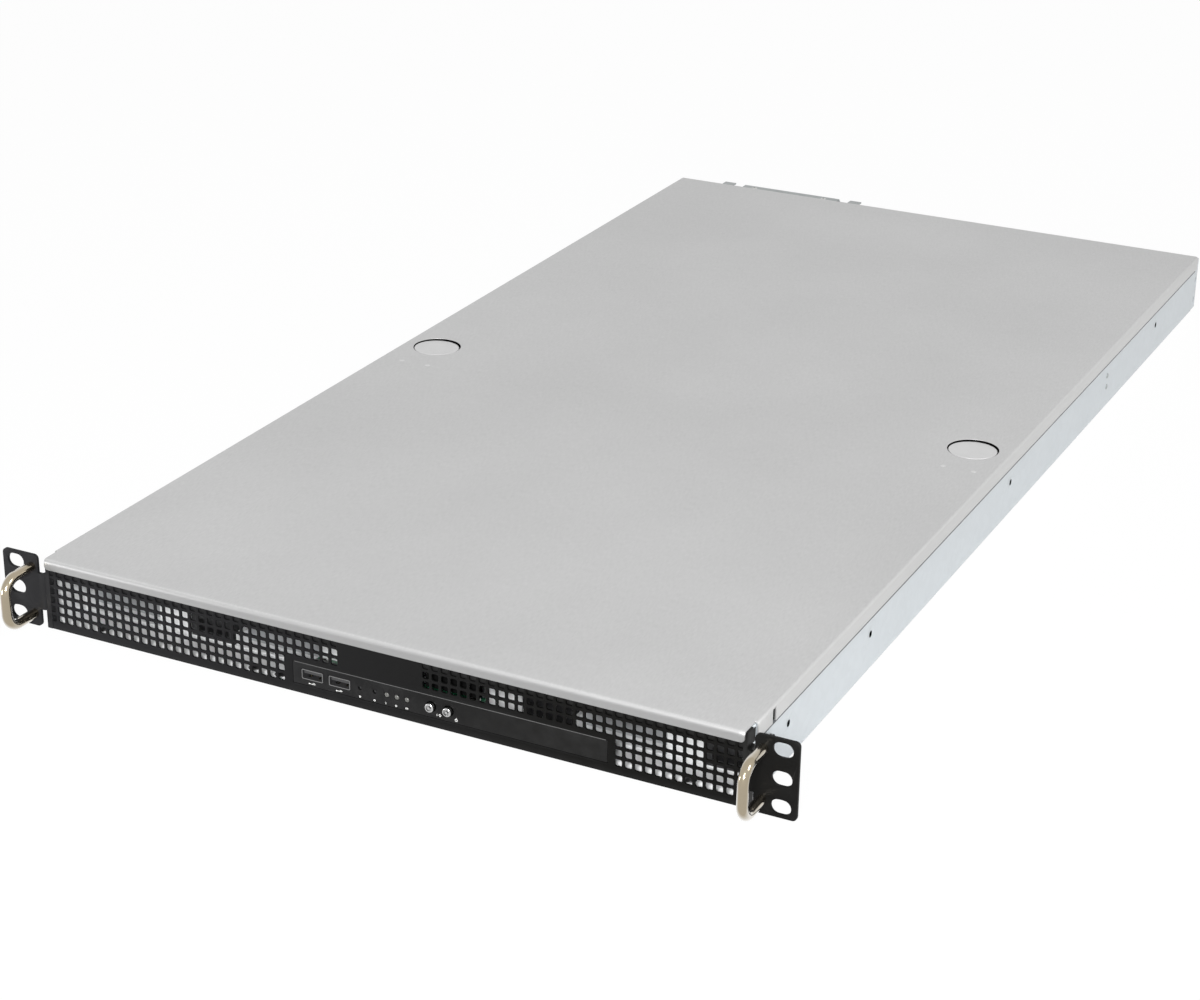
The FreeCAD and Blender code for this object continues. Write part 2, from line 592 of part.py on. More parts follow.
grip_side_count = 16
for side, sign in (("left", -1), ("right", 1)):

    def mirrored(near, wide):
        """The lower x of a box that reaches from near, outwards over wide, on this side."""
        return near if sign > 0 else f"-({near}) - ({wide})"

    flange = block(f"ear_flange_{side}", mirrored("ear_inner", "ear_width"), "-ear_gauge",
                   "mid_z - ear_rise / 2", "ear_width", "ear_gauge", "ear_rise")
    soft = rounded(f"ear_rounded_{side}", flange, size("ear_corner"), lambda edge: runs_along(edge, "y"))
    neck = block(f"ear_neck_{side}", mirrored("chassis_half", "ear_gap + 1"), "-ear_gauge",
                 neck_low, "ear_gap + 1", "ear_gauge", "neck_rise")
    leg = block(f"ear_leg_{side}", mirrored("chassis_half", "ear_gauge"), "-ear_gauge", neck_low,
                "ear_gauge", "leg_long", "neck_rise")
    holes = []
    for step in (-1, 0, 1):
        centre_z = f"mid_z + ({step}) * hole_step"
        for end in (-1, 1):
            holes.append(rod(f"slot_end_{side}_{step + 1}_{end + 1}",
                             f"{sign} * slot_x + ({end}) * (slot_long - slot_wide) / 2",
                             "-ear_gauge - 1", centre_z, "slot_wide", "ear_gauge + 2", "y"))
        holes.append(block(f"slot_mid_{side}_{step + 1}", f"{sign} * slot_x - (slot_long - slot_wide) / 2",
                           "-ear_gauge - 1", f"{centre_z} - slot_wide / 2",
                           "slot_long - slot_wide", "ear_gauge + 2", "slot_wide"))
    node(cut(f"ear_cut_{side}", union(f"ear_fused_{side}", [soft, neck, leg]), holes), f"ear_{side}")

    # handle: a rod bent through two quarter turns, with a screw head behind the ear at each end
    pieces = [rod(f"grip_bar_{side}", f"{sign} * grip_x", "-ear_gauge - grip_reach",
                  "mid_z - grip_centres / 2 + grip_bend", "grip_rod", "grip_centres - 2 * grip_bend",
                  "z", grip_side_count)]
    for level, way in (("lower", -1), ("upper", 1)):
        end_z = f"mid_z + ({way}) * grip_centres / 2"
        pieces.append(rod(f"grip_leg_{side}_{level}", f"{sign} * grip_x", f"-ear_gauge - ({grip_straight})",
                          end_z, "grip_rod", grip_straight, "y", grip_side_count))
        pieces.append(grip_turn(side, sign, level, way))
        handle_screws.append(rod(f"grip_screw_{side}_{level}", f"{sign} * grip_x", "0", end_z,
                                 "grip_head", "grip_head_rise", "y", bolt_side_count))
    node(union(f"handle_fused_{side}", pieces), f"handle_{side}")
    for number, (screw_y, screw_z) in enumerate(leg_screw_places):
        ear_screws.append(rod(f"ear_screw_{side}_{number}", mirrored("chassis_half + ear_gauge", "head_rise"),
                              screw_y, screw_z, "screw_head", "head_rise", "x", bolt_side_count))
node(group("ear_screw_set", ear_screws), "ear_screws")
node(group("handle_screw_set", handle_screws), "handle_screws")


# top cover: one sheet with a front lip, a skirt on each side and a round window for each release button
def cover_profile():
    """The section of the cover along Y: the top sheet, its bend and the lip."""
    gauge = size("cover_gauge")
    outer = size("cover_bend")
    inner = outer - gauge
    front = -size("lip_face")
    top = size("floor_z") + size("body_rise")
    low = top - size("lip_drop")
    rear = size("rear_face")
    half = math.sqrt(0.5)

    def point(y, z):
        return FreeCAD.Vector(0, y, z)

    def corner(radius, start, end):
        mid = point(front + outer - radius * half, top - outer + radius * half)
        return Part.Arc(start, mid, end).toShape()

    lip_top = point(front, top - outer)
    sheet_front = point(front + outer, top)
    under_front = point(front + outer, top - gauge)
    lip_back = point(front + gauge, top - outer)
    edges = [
        Part.makeLine(point(front, low), lip_top),
        corner(outer, lip_top, sheet_front),
        Part.makeLine(sheet_front, point(rear, top)),
        Part.makeLine(point(rear, top), point(rear, top - gauge)),
        Part.makeLine(point(rear, top - gauge), under_front),
        corner(inner, under_front, lip_back),
        Part.makeLine(lip_back, point(front + gauge, low)),
        Part.makeLine(point(front + gauge, low), point(front, low)),
    ]
    return Part.Face(Part.Wire(edges))


sheet_form = doc.addObject("Part::Feature", "cover_sheet")
lip_half = size("cover_half") - size("lip_inset")
front_part = cover_profile().extrude(FreeCAD.Vector(2 * lip_half, 0, 0))
front_part.translate(FreeCAD.Vector(-lip_half, 0, 0))
sheet_form.Shape = front_part
cover_parts = [sheet_form]
cover_under = "body_rise - cover_gauge"
for side, sign in (("left", -1), ("right", 1)):
    edge_x = "cover_half - lip_inset" if sign > 0 else "-cover_half"
    skirt_x = "cover_half - cover_gauge" if sign > 0 else "-cover_half"
    cover_parts.append(block(f"cover_edge_{side}", edge_x, "skirt_start", cover_under,
                             "lip_inset", "rear_face - skirt_start", "cover_gauge"))
    cover_parts.append(block(f"skirt_{side}", skirt_x, "skirt_start", "body_rise - skirt_drop",
                             "cover_gauge", "rear_face - skirt_start", "skirt_drop"))
cover_cuts = []
for side, sign in (("left", -1), ("right", 1)):
    cover_cuts.append(rod(f"pad_window_{side}", f"{sign} * pad_x", "pad_at", f"{cover_under} - 1",
                          "pad_across + 2 * pad_gap", "cover_gauge + 2"))
    relief_x = "cover_half - cover_gauge - 1" if sign > 0 else "-cover_half - 1"
    cover_cuts.append(block(f"relief_{side}", relief_x, "relief_at", "body_rise - skirt_drop - 1",
                            "cover_gauge + 2", "relief_wide", "skirt_drop - 0.5"))
node(cut("cover_cut", union("cover_fused", cover_parts), cover_cuts), "top_cover")

# release buttons: a round pad on a leaf spring that is spot welded under the cover
for side, sign in (("left", -1), ("right", 1)):
    centre = f"{sign} * pad_x"
    leaf_top = f"{cover_under} - run_gap"
    leaf = block(f"leaf_{side}", f"{centre} - leaf_wide / 2", "weld_at - leaf_end", f"{leaf_top} - leaf_gauge",
                 "leaf_wide", "leaf_reach + 2 * leaf_end", "leaf_gauge")
    pad = rod(f"pad_{side}", centre, "pad_at", f"{leaf_top} - leaf_gauge", "pad_across",
              "cover_gauge + run_gap + leaf_gauge")
    node(union(f"release_{side}_fused", [leaf, pad]), f"release_button_{side}")

# drives in top-loaded carriers, four across and three deep, each row against its backplane
carriers = []
levers = []
backplanes = []


def drive_left(column):
    """The left side of the drives of a column."""
    return f"({column} - {(drive_columns - 1) / 2}) * drive_column - drive_wide / 2"


for row in range(drive_rows):
    front = f"drive_first + {row} * drive_row"
    carrier_front = f"{front} - lever_deep"
    board_y = f"{front} + drive_long + plug_deep"
    backplane = [block(f"backplane_board_{row + 1}", "-chassis_half + 2 * sheet", board_y, "sheet",
                       "2 * (chassis_half - 2 * sheet)", "board_gauge", "backplane_rise")]
    for column in range(drive_columns):
        left = drive_left(column)
        tag = f"{row + 1}_{column + 1}"
        case = block(f"drive_case_{tag}", left, front, "drive_low", "drive_wide", "drive_long", "drive_rise")
        step_cut = block(f"drive_step_{tag}", f"{left} - 1", f"{front} + drive_long - drive_step_long",
                         "drive_low + drive_rise - drive_step",
                         "drive_wide + 2", "drive_step_long + 1", "drive_step + 1")
        node(cut(f"drive_{tag}", case, [step_cut]), f"hard_drive_{tag}")
        carrier = [block(f"carrier_base_{tag}", f"{left} - carrier_sheet", carrier_front, "sheet",
                         "drive_wide + 2 * carrier_sheet", "drive_long + lever_deep", "carrier_sheet")]
        for hand, x in (("left", f"{left} - carrier_sheet"), ("right", f"{left} + drive_wide")):
            carrier.append(block(f"carrier_{hand}_{tag}", x, carrier_front, "sheet",
                                 "carrier_sheet", "drive_long + lever_deep", "carrier_side"))
        carrier.append(block(f"carrier_front_{tag}", f"{left} + drive_wide / 2", carrier_front, "sheet",
                             "drive_wide / 2 - latch_wide - 2 * carrier_sheet", "carrier_sheet", "latch_rise"))
        carriers.append(union(f"carrier_{tag}", carrier))
        lever = block(f"lever_body_{tag}", f"{left} + drive_wide - latch_wide - carrier_sheet", carrier_front,
                      "drive_low", "latch_wide", "lever_deep - run_gap", "latch_rise")
        lever_cut = block(f"lever_cut_{tag}", f"{left} + drive_wide - latch_wide + 3", f"{carrier_front} - 1",
                          "drive_low + 4", "latch_wide - 8", "lever_deep - 3", "latch_rise - 8")
        levers.append(cut(f"lever_{tag}", lever, [lever_cut]))
        backplane.append(block(f"backplane_plug_{tag}", f"{left} + plug_inset", f"{front} + drive_long",
                               "drive_low + 1", "plug_wide", "plug_deep", "drive_step"))
    backplanes.append(union(f"backplane_fused_{row + 1}", backplane))
node(group("carrier_set", carriers), "drive_carriers")
node(group("lever_set", levers), "carrier_levers")
node(group("backplane_set", backplanes), "drive_backplanes")


bore_side_count = 24
hub_side_count = 2 * blade_count
motor_deep = 3


def fan_pieces(tag, x, y, z):
    """The frame and the rotor of one axial fan, from its centre, its front face and its underside."""
    body = block(f"fan_case_{tag}", f"{x} - fan_size / 2", y, z, "fan_size", "fan_deep", "fan_size")
    centre_z = f"{z} + fan_size / 2"
    bore = rod(f"fan_bore_{tag}", x, f"{y} - 1", centre_z, "fan_bore", "fan_deep + 2", "y", bore_side_count)
    motor = rod(f"fan_motor_{tag}", x, f"{y} + fan_deep - {motor_deep}", centre_z,
                "fan_hub - 1", f"{motor_deep}", "y", hub_side_count)
    spoke_long = "fan_size - fan_wall"
    spokes = [
        block(f"fan_spoke_a_{tag}", f"{x} - ({spoke_long}) / 2", f"{y} + fan_deep - spoke_wide",
              f"{centre_z} - spoke_wide / 2", spoke_long, "spoke_wide", "spoke_wide"),
        block(f"fan_spoke_b_{tag}", f"{x} - spoke_wide / 2", f"{y} + fan_deep - spoke_wide",
              f"{centre_z} - ({spoke_long}) / 2", "spoke_wide", "spoke_wide", spoke_long),
    ]
    frame = union(f"fan_frame_{tag}", [cut(f"fan_open_{tag}", body, [bore]), motor] + spokes)
    rotor = doc.addObject("Part::Feature", f"fan_rotor_{tag}")
    rotor.Shape = rotor_shape()
    rotor.Placement.Rotation = turns["y"]
    place(rotor, x, f"{y} + {motor_deep}", centre_z)
    return frame, rotor


def rotor_shape():
    """A hub with blades set at a pitch round it, along +Z from the origin."""
    hub = size("fan_hub") / 2
    deep = size("fan_deep") - 2 * motor_deep - size("run_gap")
    pitch = math.radians(38)
    chord = deep * 0.8
    side = chord / 2 * math.sin(pitch) + size("blade_gauge")
    bore = size("fan_bore") / 2 * math.cos(math.pi / bore_side_count)
    tip = math.sqrt((bore - size("blade_gap")) ** 2 - side ** 2)
    body = Part.Face(Part.makePolygon([
        FreeCAD.Vector(hub * math.cos(angle), hub * math.sin(angle), 0)
        for angle in (2 * math.pi * corner / hub_side_count for corner in range(hub_side_count + 1))
    ])).extrude(FreeCAD.Vector(0, 0, deep))
    blades = []
    for number in range(blade_count):
        blade = Part.makeBox(tip - hub + 2, size("blade_gauge"), chord,
                             FreeCAD.Vector(hub - 2, -size("blade_gauge") / 2, -chord / 2))
        blade.rotate(FreeCAD.Vector(), FreeCAD.Vector(1, 0, 0), math.degrees(pitch))
        blade.translate(FreeCAD.Vector(0, 0, deep / 2))
        blade.rotate(FreeCAD.Vector(), FreeCAD.Vector(0, 0, 1), 360.0 * number / blade_count)
        blades.append(blade)
    return body.fuse(blades)


# fan wall between the drives and the motherboard
frames = []
fan_middle = (fan_count - 1) / 2
for number in range(fan_count):
    frame, rotor = fan_pieces(f"{number + 1}", f"({number} - {fan_middle}) * fan_step", "fan_at", "fan_low")
    frames.append(frame)
    node(rotor, f"fan_rotor_{number + 1}")
node(group("fan_frame_set", frames), "fan_frames")
cage = [block("cage_base", "-chassis_half + sheet", "fan_at - 1.5 * sheet", "sheet",
              "2 * chassis_half - 2 * sheet", "fan_deep + 3 * sheet", "run_gap")]
outer_gap = f"chassis_half - sheet - {fan_middle} * fan_step - fan_size / 2"
for number in range(fan_count + 1):
    if number == 0:
        left, wide = "-chassis_half + sheet", outer_gap
    elif number == fan_count:
        left, wide = f"{fan_middle} * fan_step + fan_size / 2", outer_gap
    else:
        left, wide = f"({number - 1} - {fan_middle}) * fan_step + fan_size / 2", "fan_step - fan_size"
    cage.append(block(f"cage_wall_{number}", left, "fan_at + fan_deep / 2", "sheet", wide, "sheet", "fan_size"))
node(union("cage_fused", cage), "fan_cage")

# power supply with its own fan, board and mains inlet
supply_fan_x = "supply_left + supply_fan_side + fan_size / 2"
supply_fan_y = "rear_inner - supply_sheet - fan_deep - run_gap"
supply_fan_z = "sheet + supply_sheet"
inlet_x = f"{supply_fan_x} + fan_size / 2 + inlet_gap + inlet_wide / 2"
inlet_z = "sheet + supply_rise / 2"
supply_box = block("supply_box", "supply_left", "supply_front", "sheet",
                   "supply_wide", "supply_long", "supply_rise")
supply_cuts = [
    block("supply_hollow", "supply_left + supply_sheet", "supply_front + supply_sheet", "sheet + supply_sheet",
          "supply_wide - 2 * supply_sheet", "supply_long - 2 * supply_sheet", "supply_rise - 2 * supply_sheet"),
    rod("supply_fan_hole", supply_fan_x, "rear_inner - 2 * supply_sheet", f"{supply_fan_z} + fan_size / 2",
        "fan_bore - 2 * fan_wall", "3 * supply_sheet", "y", bore_side_count),
    block("supply_inlet_hole", f"{inlet_x} - inlet_wide / 2 - run_gap", "rear_inner - 2 * supply_sheet",
          f"{inlet_z} - inlet_rise / 2 - run_gap", "inlet_wide + 2 * run_gap", "3 * supply_sheet",
          "inlet_rise + 2 * run_gap"),
]
for number in range(vent_count):
    supply_cuts.append(block(f"supply_vent_{number}",
                             f"supply_mid - vent_wide / 2 + ({number} - {(vent_count - 1) / 2}) * vent_step",
                             "supply_front - 1", "sheet + 2 * supply_rim",
                             "vent_wide", "sheet + 2", "supply_rise - 4 * supply_rim"))
node(cut("supply_cut", supply_box, supply_cuts), "supply_case")
inlet = block("inlet_body", f"{inlet_x} - inlet_wide / 2", "rear_inner - inlet_deep",
              f"{inlet_z} - inlet_rise / 2", "inlet_wide", "inlet_deep + inlet_lip", "inlet_rise")
inlet_well = block("inlet_well", f"{inlet_x} - inlet_wide / 2 + inlet_lip", "rear_inner - inlet_deep + 7",
                   f"{inlet_z} - inlet_rise / 2 + inlet_lip", "inlet_wide - 2 * inlet_lip", "inlet_deep",
                   "inlet_rise - 2 * inlet_lip")
inlet_parts = [cut("inlet_open", inlet, [inlet_well])]
inlet_pins = ((-7, -2), (0, 2), (7, -2))
for number, (pin_x, pin_z) in enumerate(inlet_pins):
    inlet_parts.append(block(f"inlet_pin_{number}", f"{inlet_x} + ({pin_x}) - 1",
                             "rear_inner - inlet_deep + 6.5", f"{inlet_z} + ({pin_z}) - 2",
                             "2", "inlet_deep - 8", "3"))
node(union("inlet_fused", inlet_parts), "mains_inlet")
supply_floor = "sheet + supply_sheet"
supply_board_z = f"{supply_floor} + supply_post"
supply_board_long = "supply_long - fan_deep - 46"
supply_board = [
    block("supply_board_sheet", "supply_left + 3", "supply_front + 6", supply_board_z, "supply_wide - 6",
          supply_board_long, "board_gauge"),
    block("supply_coil", "supply_left + 14", "supply_front + 60", f"{supply_board_z} + board_gauge", "34", "34",
          "supply_rise - 17"),
    rod("supply_can", "supply_left + 72", "supply_front + 110", f"{supply_board_z} + board_gauge", "30",
        "supply_rise - 13", "z", small_side_count),
]
for across in (0, 1):
    post_x = f"supply_left + post_inset + {across} * (supply_wide - 2 * post_inset)"
    for along in (0, 1):
        post_y = f"supply_front + 6 + post_inset + {along} * ({supply_board_long} - 2 * post_inset)"
        supply_board.append(rod(f"supply_post_{across}_{along}", post_x, post_y, supply_floor,
                                "post_across", "supply_post", "z", bolt_side_count))
node(union("supply_board_fused", supply_board), "supply_board")

# motherboard at the rear right, with its cooler, memory, ports and standoffs
node(block("mother_sheet", "mother_left", "mother_front", "mother_low",
           "mother_side", "mother_side", "board_gauge"), "motherboard")
posts = []
screws = []


def board_post(tag, x, y, top, board_top):
    """A standoff from the floor to a board, and the screw on it."""
    posts.append(rod(f"post_{tag}", x, y, "sheet", "post_across", f"{top} - sheet", "z", bolt_side_count))
    screws.append(rod(f"board_screw_{tag}", x, y, board_top,
                      "post_across", "board_screw_rise", "z", bolt_side_count))


for across in range(3):
    post_x = f"mother_left + post_inset + {across} * (mother_side - 2 * post_inset) / 2"
    for along in range(3):
        post_y = f"mother_front + post_inset + {along} * (mother_side - 2 * post_inset - port_deep) / 2"
        board_post(f"{across}_{along}", post_x, post_y, "mother_low", "mother_top")
input_post_y = "input_board_at + input_board_deep - post_across / 2 - 1"
for name, x in (("first", "socket_first - input_board_end / 2"),
                ("last", f"{button_last} + input_board_far / 2")):
    board_post(f"input_{name}", x, input_post_y, "input_board_top - board_gauge", "input_board_top")
node(group("post_set", posts), "board_standoffs")

heat_x = "mother_left + heat_side_at"
heat_y = "mother_front + heat_front_at"
processor_inset = "(heat_side - processor_side) / 2"
sink = [
    block("sink_base", heat_x, heat_y, "mother_top + processor_rise", "heat_side", "heat_side", "heat_base"),
    block("processor", f"{heat_x} + {processor_inset}", f"{heat_y} + {processor_inset}",
          "mother_top", "processor_side", "processor_side", "processor_rise"),
]
for number in range(fin_count):
    fin_x = f"{heat_x} + {number} * (heat_side - fin_gauge) / {fin_count - 1}"
    sink.append(block(f"fin_{number}", fin_x, heat_y, "mother_top + processor_rise + heat_base",
                      "fin_gauge", "heat_side", "heat_rise - processor_rise - heat_base"))
node(union("sink_fused", sink), "processor_cooler")
memory = []
for number in range(memory_count):
    x = f"mother_left + memory_first + {number} * memory_step + {number // 2} * memory_split"
    socket_end = "(memory_socket_wide + 1)"
    memory.append(union(f"memory_{number}", [
        block(f"memory_socket_{number}", f"{x} - (memory_socket_wide - memory_gauge) / 2",
              "mother_front + memory_front", "mother_top",
              "memory_socket_wide", f"memory_long + {socket_end}", "memory_socket_rise"),
        block(f"memory_board_{number}", x, f"mother_front + memory_front + {socket_end} / 2",
              "mother_top + memory_socket_rise", "memory_gauge", "memory_long", "memory_rise"),
    ]))
node(group("memory_set", memory), "memory_modules")

# rear ports through the shield, from the left: stacked sockets, network jacks and a serial display plug
port_cuts = []


def port(tag, left, wide, rise):
    """An open-mouthed port shell on the motherboard, just past the shield."""
    shell = block(f"port_{tag}", f"shield_left + {left}", "rear_face - port_deep", "mother_top", wide,
                  "port_deep + 2 * port_fit", rise)
    mouth = block(f"port_mouth_{tag}", f"shield_left + {left} + port_wall", "rear_face - port_deep + 5",
                  "mother_top + port_wall", f"{wide} - 2 * port_wall", "port_deep", f"{rise} - 2 * port_wall")
    port_cuts.append(block(f"port_window_{tag}", f"shield_left + {left} - port_fit", "rear_inner - 2 * sheet",
                           "mother_top - port_fit", f"{wide} + 2 * port_fit", "4 * sheet",
                           f"{rise} + 2 * port_fit"))
    return cut(f"port_open_{tag}", shell, [mouth])


stacks = [port(f"stack_{number}", f"stack_first + {number} * stack_step", "stack_wide", "stack_rise")
          for number in range(socket_count)]
jacks = [port(f"jack_{number}", f"jack_first + {number} * jack_step", "jack_wide", "jack_rise")
         for number in range(jack_count)]
node(group("jack_set", jacks), "network_jacks")
node(group("stack_set", stacks), "rear_sockets")
node(port("display", "plug_first", "display_wide", "display_rise"), "display_port")
shield = block("shield_sheet", "shield_left - shield_over", "rear_inner - shield_gauge", "sheet",
               "shield_wide + 2 * shield_over", "shield_gauge", "shield_rise + 1.5 * shield_over")
node(cut("shield_cut", shield, port_cuts), "port_shield")
blank_x = "mother_left - blank_over"
blank_z = "mother_top + slot_cover_over - blank_over"
blank = [
    block("blank_sheet", blank_x, "rear_inner - blank_gauge", blank_z,
          "slot_cover_wide + 2 * blank_over", "blank_gauge", "slot_cover_rise + 2 * blank_over"),
    block("blank_fold_side", blank_x, "rear_inner - blank_fold", blank_z, "blank_gauge", "blank_fold",
          "slot_cover_rise + 2 * blank_over"),
]
node(union("blank_fused", blank), "expansion_cover")

# rear strip over its ledge, with two screws
strip = [
    block("strip_sheet", "supply_mid - strip_wide / 2", "rear_face", "strip_z",
          "strip_wide", "strip_deep", "sheet"),
    block("strip_lip", "supply_mid - strip_wide / 2", "rear_inner + strip_deep", "strip_z - 3 * sheet",
          "strip_wide", "sheet", "3 * sheet"),
]
node(union("strip_fused", strip), "rear_strip")
for hand in (-1, 1):
    screws.append(rod(f"strip_screw_{hand + 1}", f"supply_mid + ({hand}) * strip_screw_step / 2",
                      "rear_face + strip_screw_at", "strip_z + sheet",
                      "strip_screw_head", "strip_screw_rise", "z", bolt_side_count))
node(group("screw_set", screws), "case_screws")
fan_frame, fan_rotor = fan_pieces("supply", supply_fan_x, supply_fan_y, supply_fan_z)
node(fan_frame, "supply_fan_frame")
node(fan_rotor, "supply_fan_rotor")

doc.recompute()
failed = [item.Label for item in doc.Objects if {"Invalid", "Error"} & set(item.State)]
if failed:
    raise RuntimeError("objects that failed to compute: " + ", ".join(failed))
for item in nodes:
    shape = item.Shape
    if shape.isNull() or not shape.isValid():
        raise RuntimeError(f"{item.Label} has no valid shape")
    shape.exportStep(f"parts/{item.Label}.step")
print(f"wrote {len(nodes)} pieces")
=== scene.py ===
import json
import math
import bmesh
import bpy
import numpy as np
from mathutils import Matrix, Vector


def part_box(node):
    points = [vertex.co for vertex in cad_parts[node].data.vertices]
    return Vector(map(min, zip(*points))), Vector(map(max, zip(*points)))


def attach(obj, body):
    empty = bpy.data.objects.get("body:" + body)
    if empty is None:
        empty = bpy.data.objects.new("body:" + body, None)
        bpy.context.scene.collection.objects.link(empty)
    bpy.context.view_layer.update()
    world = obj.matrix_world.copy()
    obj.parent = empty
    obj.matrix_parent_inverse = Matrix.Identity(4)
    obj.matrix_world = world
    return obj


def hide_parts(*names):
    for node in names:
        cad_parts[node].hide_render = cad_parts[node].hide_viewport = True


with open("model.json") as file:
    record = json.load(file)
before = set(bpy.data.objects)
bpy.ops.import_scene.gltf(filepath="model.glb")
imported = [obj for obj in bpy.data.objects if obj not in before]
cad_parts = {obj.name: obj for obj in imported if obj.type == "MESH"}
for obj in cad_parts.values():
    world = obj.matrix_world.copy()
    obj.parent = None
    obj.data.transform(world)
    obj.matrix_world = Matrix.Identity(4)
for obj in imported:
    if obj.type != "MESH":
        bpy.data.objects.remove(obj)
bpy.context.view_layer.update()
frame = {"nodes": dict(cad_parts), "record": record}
print("frame loaded:", len(frame["nodes"]), "nodes")

mm = 0.001
floorLevel = -22.225 * mm  # the underside of the chassis
tiny = 1e-7  # a radius of nearly nought at the middle of a turned shape
close = 1e-6  # how near two places are when they count as the same

# shapes: a shell is an array of points and a list of faces, in millimetres above the underside


def packed(*values):
    # numbers and arrays put side by side along a new last axis
    return np.stack(np.broadcast_arrays(*values), axis=-1)


def gridShell(points, closed=False):
    # a sheet over a grid of points: rows run along the first index, and the columns may close on themselves
    rows, columns = points.shape[:2]
    last = columns if closed else columns - 1
    row, column = np.meshgrid(np.arange(rows - 1), np.arange(last), indexing="ij")
    following = (column + 1) % columns
    faces = packed(row * columns + column, row * columns + following,
                   (row + 1) * columns + following, (row + 1) * columns + column)
    return points.reshape(-1, 3), faces.reshape(-1, 4).tolist()


def fanShell(loop):
    # one flat face over a closed loop of points
    return loop.reshape(-1, 3), [list(range(len(loop)))]


def joined(shells):
    # shells put together as one, each one's faces counted on from the points before it
    points, faces, start = [], [], 0
    for shellPoints, shellFaces in shells:
        points.append(shellPoints)
        faces += [[start + corner for corner in face] for face in shellFaces]
        start += len(shellPoints)
    return np.concatenate(points), faces


def moved(shell, x=0.0, y=0.0, z=0.0):
    # a shape shifted along the axes
    return shell[0] + np.array([x, y, z]), shell[1]


def swapped(shell, axes):
    # the same shape with its axes taken in another order, such as (0, 2, 1)
    return shell[0][:, axes], shell[1]


def fullTurn(steps):
    # angles once round, the last one short of the first
    return np.linspace(0, 2 * math.pi, steps, endpoint=False)


def roundedLoop(x, z, wide, rise, radius, perCorner=5):
    # a rectangle about (x, z) whose corners are quarter circles: centre of each corner plus radius times
    # the cosine and sine of an angle that turns once round the loop
    radius = min(radius, wide / 2, rise / 2)
    quarter = np.linspace(0, math.pi / 2, perCorner)
    turns = np.concatenate([quarter + step * math.pi / 2 for step in range(4)])
    signX = np.repeat([1, -1, -1, 1], perCorner)
    signZ = np.repeat([1, 1, -1, -1], perCorner)
    return packed(x + signX * (wide / 2 - radius) + radius * np.cos(turns),
                  z + signZ * (rise / 2 - radius) + radius * np.sin(turns))


def circleLoop(x, z, radius, perCorner):
    # a rounded loop whose corners meet
    return roundedLoop(x, z, 2 * radius, 2 * radius, radius, perCorner)


def cornerLoop(x0, x1, z0, z1, perCorner=1, radii=(0, 0, 0, 0)):
    # a rectangle whose corners each have their own radius; a radius of nought repeats the corner point
    centres = [(x1, z1, -1, -1), (x0, z1, 1, -1), (x0, z0, 1, 1), (x1, z0, -1, 1)]
    quarter = np.linspace(0, math.pi / 2, perCorner)
    parts = []
    for step, ((x, z, towardX, towardZ), radius) in enumerate(zip(centres, radii)):
        turn = quarter + step * math.pi / 2
        parts.append(packed(x + towardX * radius + radius * np.cos(turn),
                            z + towardZ * radius + radius * np.sin(turn)))
    return np.concatenate(parts)


def ringShell(outer, inner, y):
    # a flat ring facing along Y between two loops with the same number of points
    return gridShell(np.stack([loopAt(outer, y), loopAt(inner, y)]), closed=True)


def loopAt(loop, y):
    # a loop in the plane facing along Y
    return packed(loop[:, 0], y, loop[:, 1])


def drawnShell(loop, start, end, capStart=True, capEnd=True):
    # a closed profile in x and z carried straight along Y
    shells = [gridShell(np.stack([loopAt(loop, start), loopAt(loop, end)]), closed=True)]
    if capStart:
        shells.append(fanShell(loopAt(loop, start)))
    if capEnd:
        shells.append(fanShell(loopAt(loop, end)))
    return joined(shells)


def barShell(x, z, wide, rise, ys, edge=0.0):
    # a block about the line through (x, z) that runs along Y, its long edges rounded
    loop = roundedLoop(x, z, wide, rise, max(edge, 1e-4), 4 if edge else 1)
    return drawnShell(loop, *ys)


def blockShell(xs, ys, zs, edge=0.0):
    # a block from its two ends along each axis
    (x0, x1), (z0, z1) = sorted(xs), zs
    return barShell((x0 + x1) / 2, (z0 + z1) / 2, x1 - x0, z1 - z0, ys, edge)


def latheShell(profile, x, z, around=48):
    # a profile of radius against y carried round the line through (x, z): x plus radius times the cosine of
    # the turn, z plus radius times its sine
    profile = np.asarray(profile, float)
    turn = fullTurn(around)
    radius, y = profile[:, :1], profile[:, 1:]
    points = packed(x + radius * np.cos(turn), y, z + radius * np.sin(turn))
    shells = [gridShell(points, closed=True)]
    for row in (0, -1):
        if profile[row, 0] > close:
            shells.append(fanShell(points[row]))
    return joined(shells)


def tubeShell(path, radius, around=24, closed=False):
    # a circle carried along a path: its centre on the path, its plane across the path's direction
    path = np.asarray(path, float)
    ahead = np.roll(path, -1, axis=0) - np.roll(path, 1, axis=0)
    if not closed:
        ahead[0], ahead[-1] = path[1] - path[0], path[-1] - path[-2]
    ahead /= np.linalg.norm(ahead, axis=1, keepdims=True)
    normal = np.eye(3)[int(np.argmin(np.ptp(path, axis=0)))]
    side = np.cross(ahead, normal)
    side /= np.linalg.norm(side, axis=1, keepdims=True)
    over = np.cross(side, ahead)
    turn = fullTurn(around)[None, :, None]
    points = path[:, None] + radius * (side[:, None] * np.cos(turn) + over[:, None] * np.sin(turn))
    if closed:
        points = np.concatenate([points, points[:1]])
        return gridShell(points, closed=True)
    return joined([gridShell(points, closed=True), fanShell(points[0]), fanShell(points[-1])])


def arc(centre, radius, start, end, steps):
    # points on a circle in a plane, from one angle to another in degrees
    turn = np.radians(np.linspace(start, end, steps))
    return packed(centre[0] + radius * np.cos(turn), centre[1] + radius * np.sin(turn))


